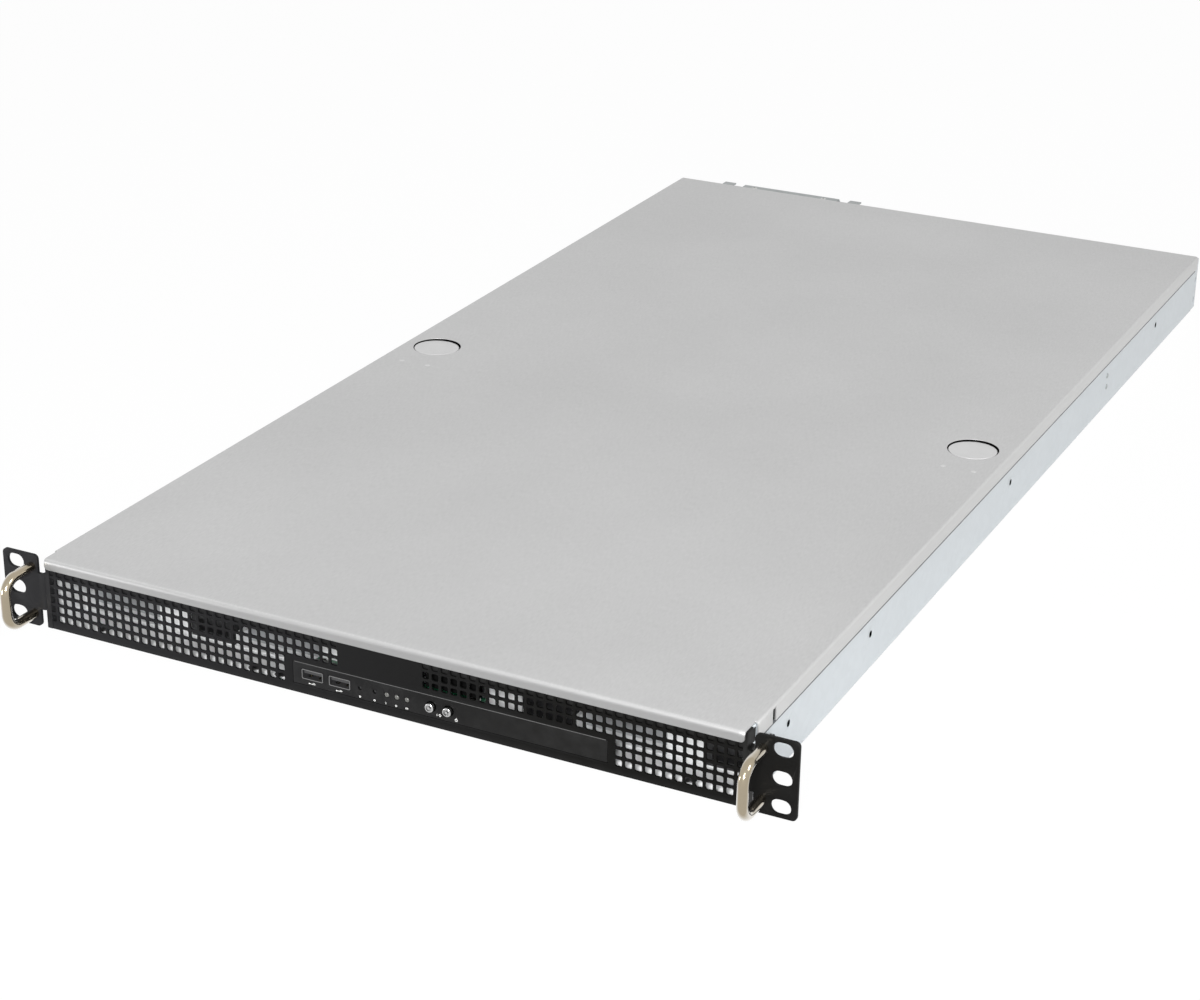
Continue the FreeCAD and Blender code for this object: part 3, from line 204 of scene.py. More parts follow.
def carried(path, ends, along):
    # a profile in two axes carried straight along the third, from one end to the other
    path = np.asarray(path, float)
    others = [axis for axis in range(3) if axis != along]
    points = np.zeros((len(path), len(ends), 3))
    points[..., others[0]] = path[:, :1]
    points[..., others[1]] = path[:, 1:]
    points[..., along] = np.asarray(ends, float)
    return gridShell(points)


def makePiece(name, shells, finish, replaces=(), body="chassis", gauge=0.0, edge=0.0, outward=None,
              inside=None):
    # joins shells into one mesh, gives a sheet its thickness inwards and its edges a small round
    points, faces = joined(shells)
    points = (points + np.array([0, 0, floorLevel / mm])) * mm
    mesh = bpy.data.meshes.new(name)
    mesh.from_pydata(points.tolist(), [], faces)
    shape = bmesh.new()
    shape.from_mesh(mesh)
    bmesh.ops.remove_doubles(shape, verts=shape.verts, dist=2 * close)
    bmesh.ops.dissolve_degenerate(shape, edges=shape.edges, dist=close)
    bmesh.ops.recalc_face_normals(shape, faces=shape.faces)
    if outward is not None:
        facing = sum((face.normal * face.calc_area() for face in shape.faces), Vector())
        if facing.dot(Vector(outward)) < 0:
            bmesh.ops.reverse_faces(shape, faces=shape.faces)
    shape.to_mesh(mesh)
    shape.free()
    piece = bpy.data.objects.new(name, mesh)
    bpy.context.scene.collection.objects.link(piece)
    for material in (finish, inside or finish):
        mesh.materials.append(finishes[material])
    if gauge:
        solid = piece.modifiers.new("gauge", "SOLIDIFY")
        solid.thickness = gauge * mm
        solid.offset = -1
        solid.use_even_offset = True
        solid.material_offset = 1 if inside else 0
    if edge:
        bevel = piece.modifiers.new("edge", "BEVEL")
        bevel.width = edge * mm
        bevel.segments = 2
        bevel.limit_method = "ANGLE"
        bevel.angle_limit = math.radians(40)
    if gauge or edge:
        shaped = piece.evaluated_get(bpy.context.evaluated_depsgraph_get())
        settled = bpy.data.meshes.new_from_object(shaped)
        piece.modifiers.clear()
        piece.data = settled
        settled.name = name
    piece.data.polygons.foreach_set("use_smooth", np.ones(len(piece.data.polygons), bool))
    piece.data.set_sharp_from_angle(angle=math.radians(35))
    if not inside:
        piece.data.materials.pop(index=1)
    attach(piece, body)
    if replaces:
        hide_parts(*replaces)
    return piece


def span(node):
    # a node's lowest and highest corners in millimetres, heights from the underside
    low, high = (np.array(corner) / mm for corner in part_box(node))
    return low - [0, 0, floorLevel / mm], high - [0, 0, floorLevel / mm]


# surfaces: colours and reliefs worked out on object coordinates

black, white = (0, 0, 0), (1, 1, 1)


def newMaterial(name, baseColor, metallic, roughness):
    # a material with its main constants on the shader's own sockets
    material = bpy.data.materials.new(name)
    material.use_nodes = True
    tree = material.node_tree
    shader = tree.nodes["Principled BSDF"]
    shader.inputs["Base Color"].default_value = (*baseColor, 1)
    shader.inputs["Metallic"].default_value = metallic
    shader.inputs["Roughness"].default_value = roughness
    return material, tree, shader


def addNode(tree, kind, inputs, operation=None):
    # a node whose inputs are given either a value or the output that feeds them
    node = tree.nodes.new("ShaderNode" + kind)
    if operation:
        node.operation = operation
    for socket, value in inputs.items():
        if isinstance(value, bpy.types.NodeSocket):
            tree.links.new(value, node.inputs[socket])
        else:
            node.inputs[socket].default_value = value
    return node


def maths(tree, operation, *values):
    # one sum on values or outputs
    return addNode(tree, "Math", dict(enumerate(values)), operation).outputs[0]


def objectCoords(tree, stretch=(1, 1, 1)):
    # object coordinates, each axis stretched by a factor
    coords = addNode(tree, "TexCoord", {})
    return addNode(tree, "Mapping", {"Vector": coords.outputs["Object"], "Scale": stretch}).outputs["Vector"]


def objectPlace(tree):
    # x, y and z of the place on the object
    return addNode(tree, "SeparateXYZ", {"Vector": objectCoords(tree)}).outputs


def noise(tree, vector, scale, detail=2.0, rough=0.5):
    # a factor that drifts at random over the surface
    inputs = {"Vector": vector, "Scale": scale, "Detail": detail, "Roughness": rough}
    return addNode(tree, "TexNoise", inputs).outputs["Fac"]


def ramp(tree, factor, places, colors=(black, white)):
    # a factor turned into colours, which stand at the given places
    node = addNode(tree, "ValToRGB", {"Fac": factor})
    for element, place, color in zip(node.color_ramp.elements, places, colors):
        element.position = place
        element.color = (*color, 1)
    return node.outputs["Color"]


def spread(tree, factor, low, high):
    # a factor of 0 to 1 carried to low to high
    return addNode(tree, "MapRange", {"Value": factor, "To Min": low, "To Max": high}).outputs["Result"]


def spreadFrom(tree, value, start, end):
    # a value between start and end, in millimetres, carried to 0 to 1
    inputs = {"Value": value, "From Min": start * mm, "From Max": end * mm}
    return addNode(tree, "MapRange", inputs).outputs["Result"]


def blended(tree, factor, first, second):
    # a mix of two colours by a factor
    node = tree.nodes.new("ShaderNodeMix")
    node.data_type = "RGBA"
    tree.links.new(factor, node.inputs["Factor"])
    sockets = [item for item in node.inputs if item.type == "RGBA"]
    for socket, value in zip(sockets, (first, second)):
        if isinstance(value, tuple):
            socket.default_value = (*value, 1)
        else:
            tree.links.new(value, socket)
    return [item for item in node.outputs if item.type == "RGBA"][0]


def neighbours(look):
    # a darker and a paler neighbour of a look's colour
    return [tuple(min(1, c * factor) for c in look["color"]) for factor in (1 - look["vary"], 1 + look["vary"])]


def makeFinish(name, look, paint):
    # paint draws the colour; patches of roughness and a fine relief come from the look, where plain is the
    # roughness before patches and grain is the relief's scale, its depth in metres and its strength
    material, tree, shader = newMaterial(name, look["color"], look["metallic"], look["plain"])
    if "gloss" in look:
        shader.inputs["Specular IOR Level"].default_value = look["gloss"]
    vector = objectCoords(tree, look.get("stretch", (1, 1, 1)))
    color, height = paint(tree, look, vector)
    tree.links.new(color, shader.inputs["Base Color"])
    if "patches" in look:
        patches = spread(tree, noise(tree, vector, *look["patches"]), *look["roughness"])
        tree.links.new(patches, shader.inputs["Roughness"])
    scale, depth, strength = look["grain"]
    height = height or noise(tree, vector, scale)
    bump = addNode(tree, "Bump", {"Height": height, "Distance": depth, "Strength": strength})
    tree.links.new(bump.outputs["Normal"], shader.inputs["Normal"])
    return material


def paintClouds(tree, look, vector):
    # darker and paler clouds of the look's colour, which don't follow a stretched vector
    return ramp(tree, noise(tree, objectCoords(tree), *look["clouds"]), look["stops"], neighbours(look)), None


# zinc-coated cover sheet: matt, almost even, with fine rolling grain from front to rear; painted light makes
# the skirts paler and painted shade makes the lip darker
coverFinish = {"color": (0.515, 0.515, 0.515), "lip": (0.29, 0.29, 0.29), "skirt": (0.575, 0.575, 0.572),
               "shadedLipY": (-1.0, -2.7), "skirtX": (212.8, 214.4), "vary": 0.028, "clouds": (6, 5, 0.6),
               "stops": (0.35, 0.65), "speckle": 0.12, "speckleScale": 1500, "stretch": (1, 0.15, 1),
               "metallic": 0.8, "plain": 0.5, "roughness": (0.46, 0.54), "patches": (260, 3),
               "grain": (1800, 0.000012, 0.4)}


def paintCover(tree, look, rolled):
    # clouds times speckle on the top; painted light as a paler tone on the skirts by the size of x, and painted
    # shade as a darker tone on the lip by y
    fine = spread(tree, noise(tree, rolled, look["speckleScale"]), 1 - look["speckle"], 1 + look["speckle"])
    clouds = paintClouds(tree, look, rolled)[0]
    sheet = addNode(tree, "HueSaturation", {"Color": clouds, "Value": fine}).outputs["Color"]
    place = objectPlace(tree)
    # painted light: the skirts paler, by the size of x
    side = spreadFrom(tree, maths(tree, "ABSOLUTE", place["X"]), *look["skirtX"])
    sheet = blended(tree, ramp(tree, side, (0.2, 0.9)), sheet, look["skirt"])
    # painted shade: the lip darker, by y
    front = spreadFrom(tree, place["Y"], *look["shadedLipY"])
    return blended(tree, ramp(tree, front, (0.35, 0.95)), sheet, look["lip"]), None


# bright galvanised sheet: a cool tint and a very faint spangle
zincFinish = {"color": (0.53, 0.565, 0.588), "vary": 0.015, "cells": 220, "metallic": 0.45, "plain": 0.34,
              "roughness": (0.30, 0.38), "patches": (25, 4), "grain": (900, 0.000006, 0.3)}
# a paler, non-metallic copy of the zinc for the inside: painted light
zincLitInside = dict(zincFinish, color=(0.92, 0.93, 0.935), metallic=0.0)


def paintZinc(tree, look, flat):
    # each spangle cell has its own tone
    cells = addNode(tree, "TexVoronoi", {"Vector": flat, "Scale": look["cells"]})
    return ramp(tree, cells.outputs["Color"], (0.2, 0.8), neighbours(look)), None


# black powder coat: fine orange peel, edges a little paler as rubbed wear and painted highlight, and a painted
# sheen that makes it a little paler towards the left
powderFinish = {"color": (0.0036, 0.0035, 0.0032), "leftSheen": (0.012, 0.012, 0.013), "leftSheenX": (120, -230),
                "rubbedLitEdge": (0.03, 0.03, 0.03), "rubbedLitShare": 0.5, "rubbedLitScale": 140, "edge": (0.52, 0.56),
                "metallic": 0.0, "plain": 0.42, "gloss": 0.06, "roughness": (0.38, 0.5), "patches": (90, 4),
                "grain": (2600, 0.00003, 0.6)}


def paintPowder(tree, look, flat):
    # a painted sheen pales the coat towards the left; the rubbed tone, partly wear and partly painted
    # highlight, shows where the surface points outwards, broken up by a noise
    # painted sheen: paler towards the left
    leftSheenMask = spreadFrom(tree, objectPlace(tree)["X"], *look["leftSheenX"])
    sheenedCoat = ramp(tree, leftSheenMask, (0, 1), (look["color"], look["leftSheen"]))
    # paler outward edges: partly rubbed wear, partly a painted highlight
    edge = ramp(tree, addNode(tree, "NewGeometry", {}).outputs["Pointiness"], look["edge"])
    breaks = spread(tree, noise(tree, flat, look["rubbedLitScale"], 4), 0, look["rubbedLitShare"])
    return blended(tree, maths(tree, "MULTIPLY", edge, breaks), sheenedCoat, look["rubbedLitEdge"]), None


# nickel plate: warm, nearly a mirror, with faint polishing waves and a painted sheen that is paler where the
# surface turns away from the eye
plateFinish = {"color": (0.40, 0.345, 0.255), "edge": (0.86, 0.84, 0.80), "vary": 0.03, "clouds": (60, 3),
               "stops": (0.3, 0.7), "metallic": 1.0, "plain": 0.1, "roughness": (0.12, 0.2),
               "patches": (300, 4), "grain": (120, 0.00003, 0.25)}


def paintPlate(tree, look, flat):
    # clouds, and a painted sheen: a paler tone where the surface turns away from the eye
    facing = addNode(tree, "LayerWeight", {"Blend": 0.5}).outputs["Facing"]
    return blended(tree, ramp(tree, facing, (0.35, 0.8)), paintClouds(tree, look, flat)[0], look["edge"]), None


# circuit board: green mask over faint tracks, with small round pads
boardFinish = {"color": (0.012, 0.115, 0.05), "track": (0.02, 0.16, 0.075), "pad": (0.5, 0.42, 0.2),
               "tracks": 160, "trackWide": 0.03, "pads": 220, "metallic": 0.0, "plain": 0.32,
               "grain": (None, 0.00003, 0.5)}


def paintBoard(tree, look, flat):
    # tracks are the joints of a brick pattern and pads are the middles of cells
    mask = (*look["color"], 1)
    tracks = addNode(tree, "TexBrick", {
        "Vector": flat, "Scale": look["tracks"], "Color1": mask, "Color2": mask,
        "Mortar": (*look["track"], 1), "Mortar Size": look["trackWide"]})
    cells = addNode(tree, "TexVoronoi", {"Vector": flat, "Scale": look["pads"]})
    dots = ramp(tree, cells.outputs["Distance"], (0.12, 0.14), (white, black))
    return blended(tree, dots, tracks.outputs["Color"], look["pad"]), tracks.outputs["Fac"]


finishes = {
    "cover": makeFinish("coverFinish", coverFinish, paintCover),
    "zinc": makeFinish("zincFinish", zincFinish, paintZinc),
    "zincLitInside": makeFinish("zincLitInsideFinish", zincLitInside, paintZinc),
    "powder": makeFinish("powderFinish", powderFinish, paintPowder),
    "plate": makeFinish("plateFinish", plateFinish, paintPlate),
    "board": makeFinish("boardFinish", boardFinish, paintBoard),
}
# plain finishes: colour, metallic, roughness, how much the colour varies, the grain's scale and its depth
plainFinishes = {
    "blackPlastic": ((0.02, 0.02, 0.021), 0.0, 0.45, 0.1, 900, 0.00002),
    "cast": ((0.46, 0.47, 0.48), 0.55, 0.42, 0.08, 700, 0.00003),
    "lens": ((0.075, 0.075, 0.07), 0.0, 0.3, 0.05, 500, 0.00001),
    "cooler": ((0.74, 0.74, 0.75), 1.0, 0.32, 0.05, 600, 0.00001),
    "blackScrew": ((0.03, 0.03, 0.03), 0.3, 0.35, 0.1, 600, 0.00001),
    "screw": ((0.62, 0.62, 0.60), 1.0, 0.26, 0.08, 600, 0.00001),
    "socketMetal": ((0.24, 0.24, 0.24), 0.9, 0.35, 0.06, 600, 0.00001),
    # a painted highlight along the input plate's top edge
    "edgeHighlight": ((0.09, 0.09, 0.09), 0.3, 0.45, 0.08, 600, 0.00001),
    "rim": ((0.05, 0.05, 0.05), 0.2, 0.5, 0.06, 600, 0.00001),
    "button": ((0.52, 0.52, 0.52), 1.0, 0.16, 0.04, 500, 0.000005),
    "contact": ((0.83, 0.62, 0.28), 1.0, 0.25, 0.05, 500, 0.000005),
    "padSheet": ((0.60, 0.60, 0.60), 0.75, 0.42, 0.02, 900, 0.00001),
    "zincDull": ((0.33, 0.35, 0.35), 0.6, 0.4, 0.06, 700, 0.00001),
    "shade": ((0.004, 0.004, 0.004), 0.0, 0.9, 0.1, 900, 0.00001),
    # painted shadow under the skirts' lower edges
    "seam": ((0.06, 0.065, 0.07), 0.0, 0.6, 0.1, 900, 0.00001),
    "jackLight": ((0.10, 0.36, 0.10), 0.0, 0.25, 0.05, 500, 0.00001),
    "socketBlue": ((0.03, 0.09, 0.32), 0.0, 0.4, 0.08, 700, 0.00002),
    "print": ((0.62, 0.62, 0.61), 0.0, 0.55, 0.05, 900, 0.000005),
}
for name, (color, metallic, rough, vary, grain, depth) in plainFinishes.items():
    look = {"color": color, "metallic": metallic, "plain": rough, "vary": vary, "clouds": (grain / 8, 4),
            "stops": (0.3, 0.7), "roughness": (rough * 0.85, min(1, rough * 1.15)), "patches": (grain / 3, 3),
            "grain": (grain, depth, 0.5)}
    finishes[name] = makeFinish(name + "Finish", look, paintClouds)
finishes["shade"].node_tree.nodes["Principled BSDF"].inputs["Specular IOR Level"].default_value = 0.0
slotFinish = {
    "cover_sheet": "cover", "galvanised_sheet": "zinc", "black_sheet": "powder", "plated_rod": "plate",
    "black_plastic": "blackPlastic", "drive_case": "cast", "clear_plastic": "lens", "circuit_board": "board",
    "cooler": "cooler", "black_screw": "blackScrew", "screw": "screw", "button_metal": "button",
}
nodeFinish = {"drive_carriers": "zincLitInside"}  # the sheet that shows through the grille gets the paler copy of the zinc, as painted light
for subpart in frame["record"]["subparts"]:
    node = frame["nodes"][subpart["node"]]
    node.data.materials.clear()
    finish = nodeFinish.get(subpart["node"], slotFinish[subpart["material_slot"]])
    node.data.materials.append(finishes[finish])
print("finishes on every node")

# the front sheet: a square-holed grille with a window for the input plate

rackMiddle = 22.225  # the middle ear slot above the underside
panel = {"face": -0.6, "gauge": 1.2, "half": 213.1, "top": 42.2, "pitch": 5.6, "hole": 4.1, "corner": 0.95,
         "columns": 76, "rows": 6, "lowRow": 6.9, "window": (-51.5, 137.0, 5.3, 18.6),
         "windowCells": (-56.0, 140.0, 4.1, 20.9), "bare": (-22.4, 28.0), "edge": 0.12}


def latticeShell(xs, zs, point, skip):
    # a sheet over a lattice of lines: point carries the two parameters to space, and skip leaves cells out
    first, second = np.meshgrid(xs, zs, indexing="ij")
    points = point(first, second)
    middleX, middleZ = (xs[:-1] + xs[1:]) / 2, (zs[:-1] + zs[1:]) / 2
    column, row = np.meshgrid(np.arange(len(xs) - 1), np.arange(len(zs) - 1), indexing="ij")
    kept = ~skip(middleX[column], middleZ[row])
    corner = column[kept] * len(zs) + row[kept]
    faces = packed(corner, corner + len(zs), corner + len(zs) + 1, corner + 1)
    return points.reshape(-1, 3), faces.tolist()


def sectionShell(section, lines, skip, lift=lambda x, y: 0):
    # a section in x and z carried along the lines of y; skip leaves cells out by the middle of their side of
    # the section, and lift raises the sheet by an amount that depends on x and y
    def point(u, y):
        index = u.astype(int)
        x, z = section[index, 0], section[index, 1]
        return packed(x, y, z + lift(x, y))

    def left(u, y):
        middle = (section[np.floor(u).astype(int)] + section[np.ceil(u).astype(int)]) / 2
        return skip(middle[..., 0], middle[..., 1], y)

    return latticeShell(np.arange(len(section), dtype=float), lines, point, left)


def borderLoop(xs, zs, x0, x1, z0, z1):
    # the lattice points round a block of cells, once round from its low corner
    across = xs[(xs > x0 - close) & (xs < x1 + close)]
    up = zs[(zs > z0 - close) & (zs < z1 + close)]
    return np.concatenate([packed(across[:-1], z0), packed(x1, up[:-1]), packed(across[:0:-1], z1),
                           packed(x0, up[:0:-1])])


def makeGrille():
    # a flat sheet over the lattice of cells; each holed cell is a ring between a square and a rounded square
    x0, x1, z0, z1 = panel["window"]
    c0, c1, d0, d1 = panel["windowCells"]
    pitch, face = panel["pitch"], panel["face"]
    columns = (np.arange(panel["columns"]) - (panel["columns"] - 1) / 2) * pitch
    rows = panel["lowRow"] + np.arange(panel["rows"]) * pitch
    xs = np.concatenate([[-panel["half"]], columns - pitch / 2, [columns[-1] + pitch / 2, panel["half"]]])
    zs = np.concatenate([[0], rows - pitch / 2, [rows[-1] + pitch / 2, panel["top"]]])

    def inWindow(x, z):
        return (x > c0) & (x < c1) & (z > d0) & (z < d1)

    def holed(x, z):
        bare = (x > panel["bare"][0]) & (x < panel["bare"][1])
        return ~bare & ~inWindow(x, z) & (abs(x) < columns[-1] + 1) & (z > rows[0] - 1) & (z < rows[-1] + 1)

    shells = [latticeShell(xs, zs, lambda x, z: packed(x, face, z),
                           lambda x, z: holed(x, z) | inWindow(x, z))]
    half = pitch / 2
    outer = cornerLoop(-half, half, -half, half, 3)
    inner = roundedLoop(0, 0, panel["hole"], panel["hole"], panel["corner"], 3)
    cell = ringShell(outer, inner, face)
    gridX, gridZ = np.meshgrid(columns, rows)
    chosen = holed(gridX, gridZ)
    shells += [moved(cell, x=x, z=z) for x, z in zip(gridX[chosen], gridZ[chosen])]
    border = borderLoop(xs, zs, c0, c1, d0, d1)
    shells.append(ringShell(border, np.clip(border, (x0, z0), (x1, z1)), face))
    return makePiece("frontGrille", shells, "powder", ["front_panel"],
                     gauge=panel["gauge"], edge=panel["edge"], outward=(0, -1, 0))


grille = makeGrille()
print("front grille:", len(grille.data.polygons), "faces")

# the top cover: top sheet, front lip, side skirts, round windows for the release buttons

cover = {"gauge": 1.0, "top": 43.5, "half": 214.4, "bend": 1.6, "bendSteps": 7, "support": 0.5, "edge": 0.15,
         "front": -2.8, "frontBend": 2.5, "lipLow": 37.3, "lipRound": 2.2, "skirtLow": 34.0, "skirtStart": 10.0,
         "relief": (27.9, 32.1), "padX": 190.5, "padY": 396.0, "window": 16.0, "cell": 18.0, "cellLines": 17,
         "plainY": (60.0, 30.0, 120.0), "plainLines": 4, "swellLines": (3.0, 39.0, 13), "flatX": (140.0, 70.0),
         "swell": 1.1, "swellY": 424.0, "swellShift": 4.0, "swellX": 13.0, "swellDeep": 11.0}
coverRear = float(span("top_cover")[1][1])


def makeCover():
    top, bend, half = cover["top"], cover["bend"], cover["half"]
    padX, padY, cell = cover["padX"], cover["padY"], cover["cell"]
    # side section, once over from one skirt's edge to the other's, carried from front to rear
    side = np.concatenate([
        [[half, cover["skirtLow"]], [half, top - bend - cover["support"]]],
        arc((half - bend, top - bend), bend, 0, 90, cover["bendSteps"]),
        [[half - bend - cover["support"], top]]])
    padLines = np.linspace(padX - cell, padX + cell, cover["cellLines"])
    flatLines = np.concatenate([padLines[::-1], cover["flatX"]])
    rightHalf = np.concatenate([side, packed(flatLines, top)])
    section = np.concatenate([rightHalf, [[0, top]], (rightHalf * [-1, 1])[::-1]])
    first, before, after = cover["plainY"]
    near, far, count = cover["swellLines"]
    lines = np.concatenate([
        [cover["skirtStart"]], cover["relief"], np.linspace(first, padY - cell - before, cover["plainLines"]),
        np.linspace(padY - cell, padY + cell, cover["cellLines"]),
        np.linspace(padY + cell + near, padY + cell + far, count),
        np.linspace(padY + after, coverRear, cover["plainLines"])])

    def swell(x, y):
        # a raised cosine over an oval behind each window
        across = (x - np.where(x < 0, -padX, padX) - cover["swellShift"]) / cover["swellX"]
        along = (y - cover["swellY"]) / cover["swellDeep"]
        reach = np.clip(np.sqrt(across ** 2 + along ** 2), 0, 1)
        behind = (np.abs(x) < padX + cell) & (y > padY + cell)
        return np.where(behind, cover["swell"] * (0.5 + 0.5 * np.cos(math.pi * reach)), 0)

    def left(x, z, y):
        # the round windows and the relief slots in the skirts
        window = (np.abs(np.abs(x) - padX) < cell) & (np.abs(y - padY) < cell)
        relief = (z < top - bend) & (y > cover["relief"][0]) & (y < cover["relief"][1])
        return window | relief

    shells = [sectionShell(section, lines, left, swell)]
    for sign in (-1, 1):
        across = np.sort(sign * padLines)
        border = borderLoop(across, lines, across[0], across[-1], padY - cell, padY + cell)
        away = border - (sign * padX, padY)
        circle = (sign * padX, padY) + cover["window"] * away / np.linalg.norm(away, axis=1, keepdims=True)
        middle = (border + circle) / 2
        for outer, inner in ((border, middle), (middle, circle)):
            shells.append(swapped(ringShell(outer, inner, top), (0, 2, 1)))
    # front section carried across, whose ends stop short of the skirts
    low, turn = cover["lipLow"], cover["frontBend"]
    lipZ = np.concatenate([low + cover["lipRound"] * (1 - np.cos(np.linspace(0, math.pi / 2, 6))),
                           [top - turn - cover["support"]]])
    front = np.concatenate([
        packed(cover["front"], lipZ),
        arc((cover["front"] + turn, top - turn), turn, 180, 90, cover["bendSteps"]),
        [[cover["front"] + turn + cover["support"], top], [cover["skirtStart"], top]]])
    inside = section[np.abs(section[:, 0]) < half - bend - cover["support"] + close]
    points, faces = carried(front, inside[:, 0], 0)
    # the lip's lower corners: each end moves in by the round's reach at its height
    rise = np.clip((low + cover["lipRound"] - points[:, 2]) / cover["lipRound"], 0, 1)
    ends = np.abs(points[:, 0]) > inside[:, 0].max() - close
    inward = np.where(ends & (points[:, 1] < cover["front"] + close),
                      cover["lipRound"] * (1 - np.sqrt(1 - rise ** 2)), 0)
    points[:, 0] -= np.sign(points[:, 0]) * inward
    shells.append((points, faces))
    return makePiece("coverSheet", shells, "cover", ["top_cover"], "cover",
                     gauge=cover["gauge"], edge=cover["edge"], outward=(0, 0, 1))


coverSheet = makeCover()
print("cover:", len(coverSheet.data.polygons), "faces")

# the release buttons: a round pad on a leaf spring, with two weld spots in front of it

pad = {"radius": 15.2, "forward": 0.5, "tilt": 0.034, "sink": 0.42, "round": 0.5, "rim": 0.22, "low": 41.5,
       "dish": (2.6, 1.2), "bandRadius": 15.96, "bandZ": (41.4, 43.32), "bandGauge": 0.2,
       "leafY": (361.0, 399.0), "leafX": 12.0, "leafZ": (41.5, 42.2),
       "weldY": 362.0, "weldX": (-7.3, 12.3), "weldRadius": 1.7, "weldRise": 0.42}


def makeReleaseButtons():
    # a turned disc that leans in step with y, domes whose height falls as a cosine, and a dark band of painted
    # shade in the window's gap, which is a circle carried up through the window
    for name, sign in (("Left", -1), ("Right", 1)):
        x, y, top = sign * cover["padX"], cover["padY"] - pad["forward"], cover["top"]
        rim = arc((pad["radius"] - pad["round"], top - pad["round"]), pad["round"], 90, 0, 5)
        floor, (dishFoot, dishTop) = top - pad["rim"], pad["radius"] - np.array(pad["dish"])
        profile = np.concatenate([[[tiny, floor], [dishFoot, floor], [dishTop, top]], rim,
                                  [[pad["radius"], pad["low"]], [tiny, pad["low"]]]])
        disc = swapped(latheShell(profile, x, y, 96), (0, 2, 1))
        lean = np.where(disc[0][:, 2] > pad["low"] + 0.5, pad["tilt"] * (y - disc[0][:, 1]) - pad["sink"], 0)
        disc = disc[0] + packed(0, 0, lean), disc[1]
        leaf = blockShell((x - pad["leafX"], x + pad["leafX"]), pad["leafY"], pad["leafZ"])
        makePiece("releaseButton" + name, [disc, leaf], "padSheet",
                  ["release_button_" + name.lower()], "release_" + name.lower())
        welds = []
        for side in pad["weldX"]:
            turn = np.linspace(0, 1, 7)[:, None]
            dome = np.concatenate([pad["weldRadius"] * turn + tiny,
                                   cover["top"] + pad["weldRise"] * np.cos(math.pi / 2 * turn)], axis=1)
            welds.append(swapped(latheShell(dome, x + side, pad["weldY"], 24), (0, 2, 1)))
        makePiece("weldSpots" + name, welds, "padSheet", body="cover")
        # painted shade: a dark band round the window's gap
        turn, reach = fullTurn(64), pad["bandRadius"]
        levels = np.array(pad["bandZ"])[:, None]
        band = packed(x + reach * np.cos(turn), cover["padY"] + reach * np.sin(turn), levels)
        makePiece("windowShadeBand" + name, [gridShell(band, closed=True)], "shade", body="cover",
                  gauge=pad["bandGauge"])


makeReleaseButtons()
print("release buttons done")

# ears: a flange with three rack slots, a neck and a leg bent back along the side wall

ear = {"gauge": 2.0, "inner": 217.6, "outer": 241.3, "half": 21.9, "neckHalf": 11.2, "slotX": 232.55,
       "slotStep": 15.875, "slotWide": 11.0, "slotRise": 8.4, "slotRound": 4.2, "corner": 2.5, "wall": 213.1,
       "legY": (4.5, 9.0, 30.0), "legRise": 5.0, "bend": 2.6, "support": 0.3, "edge": 0.18}
grip = {"x": 222.0, "rod": 3.0, "bend": 9.0, "reach": -25.5, "straight": -9.0, "halfRise": 14.35}
legScrews = ((7.0, rackMiddle - 5.6), (23.0, rackMiddle + 5.6))
screwSizes = {  # radius and rise of the head, radius and depth of its socket
    "leg": (3.0, 1.2, 1.15, 0.8), "handle": (3.3, 2.2, 1.6, 1.4), "strip": (2.2, 1.1, 0.9, 0.7),
    "board": (3.0, 1.8, 1.2, 1.2), "guard": (1.7, 1.2, 0.8, 0.6), "display": (2.3, 0.9, 1.0, 0.6),
}


def makeEar(sign):
    # three flat fields with a slot each, and the section of the neck and leg carried straight up
    cuts = (-ear["half"], -ear["neckHalf"], ear["neckHalf"], ear["half"])
    corner = ear["corner"]
    radii = ((0, 0, corner, corner), (0, 0, 0, 0), (corner, corner, 0, 0))
    shells = []
    for level, (low, high) in enumerate(zip(cuts[:-1], cuts[1:])):
        outer = cornerLoop(ear["inner"], ear["outer"], rackMiddle + low, rackMiddle + high, 7, radii[level])
        slotZ = rackMiddle + (level - 1) * ear["slotStep"]
        slot = roundedLoop(ear["slotX"], slotZ, ear["slotWide"], ear["slotRise"], ear["slotRound"], 7)
        shells.append(ringShell(outer, slot, -ear["gauge"]))
    # from the flange round the bend and back along the wall
    wall, bend, face, support = ear["wall"], ear["bend"], -ear["gauge"], ear["support"]
    section = np.concatenate([
        [[ear["inner"], face], [wall + bend + support, face]],
        arc((wall + bend, bend + face), bend, 270, 180, 8),
        [[wall, bend + face + support]], packed(wall, ear["legY"])])
    neck = carried(section, (rackMiddle - ear["neckHalf"], rackMiddle + ear["neckHalf"]), 2)
    short = (neck[0][:, 1] > ear["legY"][0]) & (neck[0][:, 2] > rackMiddle)
    neck[0][:, 2] = np.where(short, rackMiddle + ear["legRise"], neck[0][:, 2])
    shells.append(neck)
    points, faces = joined(shells)
    return [(points * (sign, 1, 1), faces)]


def makeGrip(sign):
    # the rod's middle line: out of the ear, a quarter turn, the bar, a quarter turn and back
    reach, bend, rise = grip["reach"], grip["bend"], grip["halfRise"]
    lower = np.concatenate([[[-ear["gauge"], -rise], [grip["straight"], -rise]],
                            arc((reach + bend, bend - rise), bend, 270, 180, 14)])
    line = np.concatenate([lower, (lower * (1, -1))[::-1]])
    path = packed(sign * grip["x"], line[:, 0], rackMiddle + line[:, 1])
    return [tubeShell(path, grip["rod"], 32)]


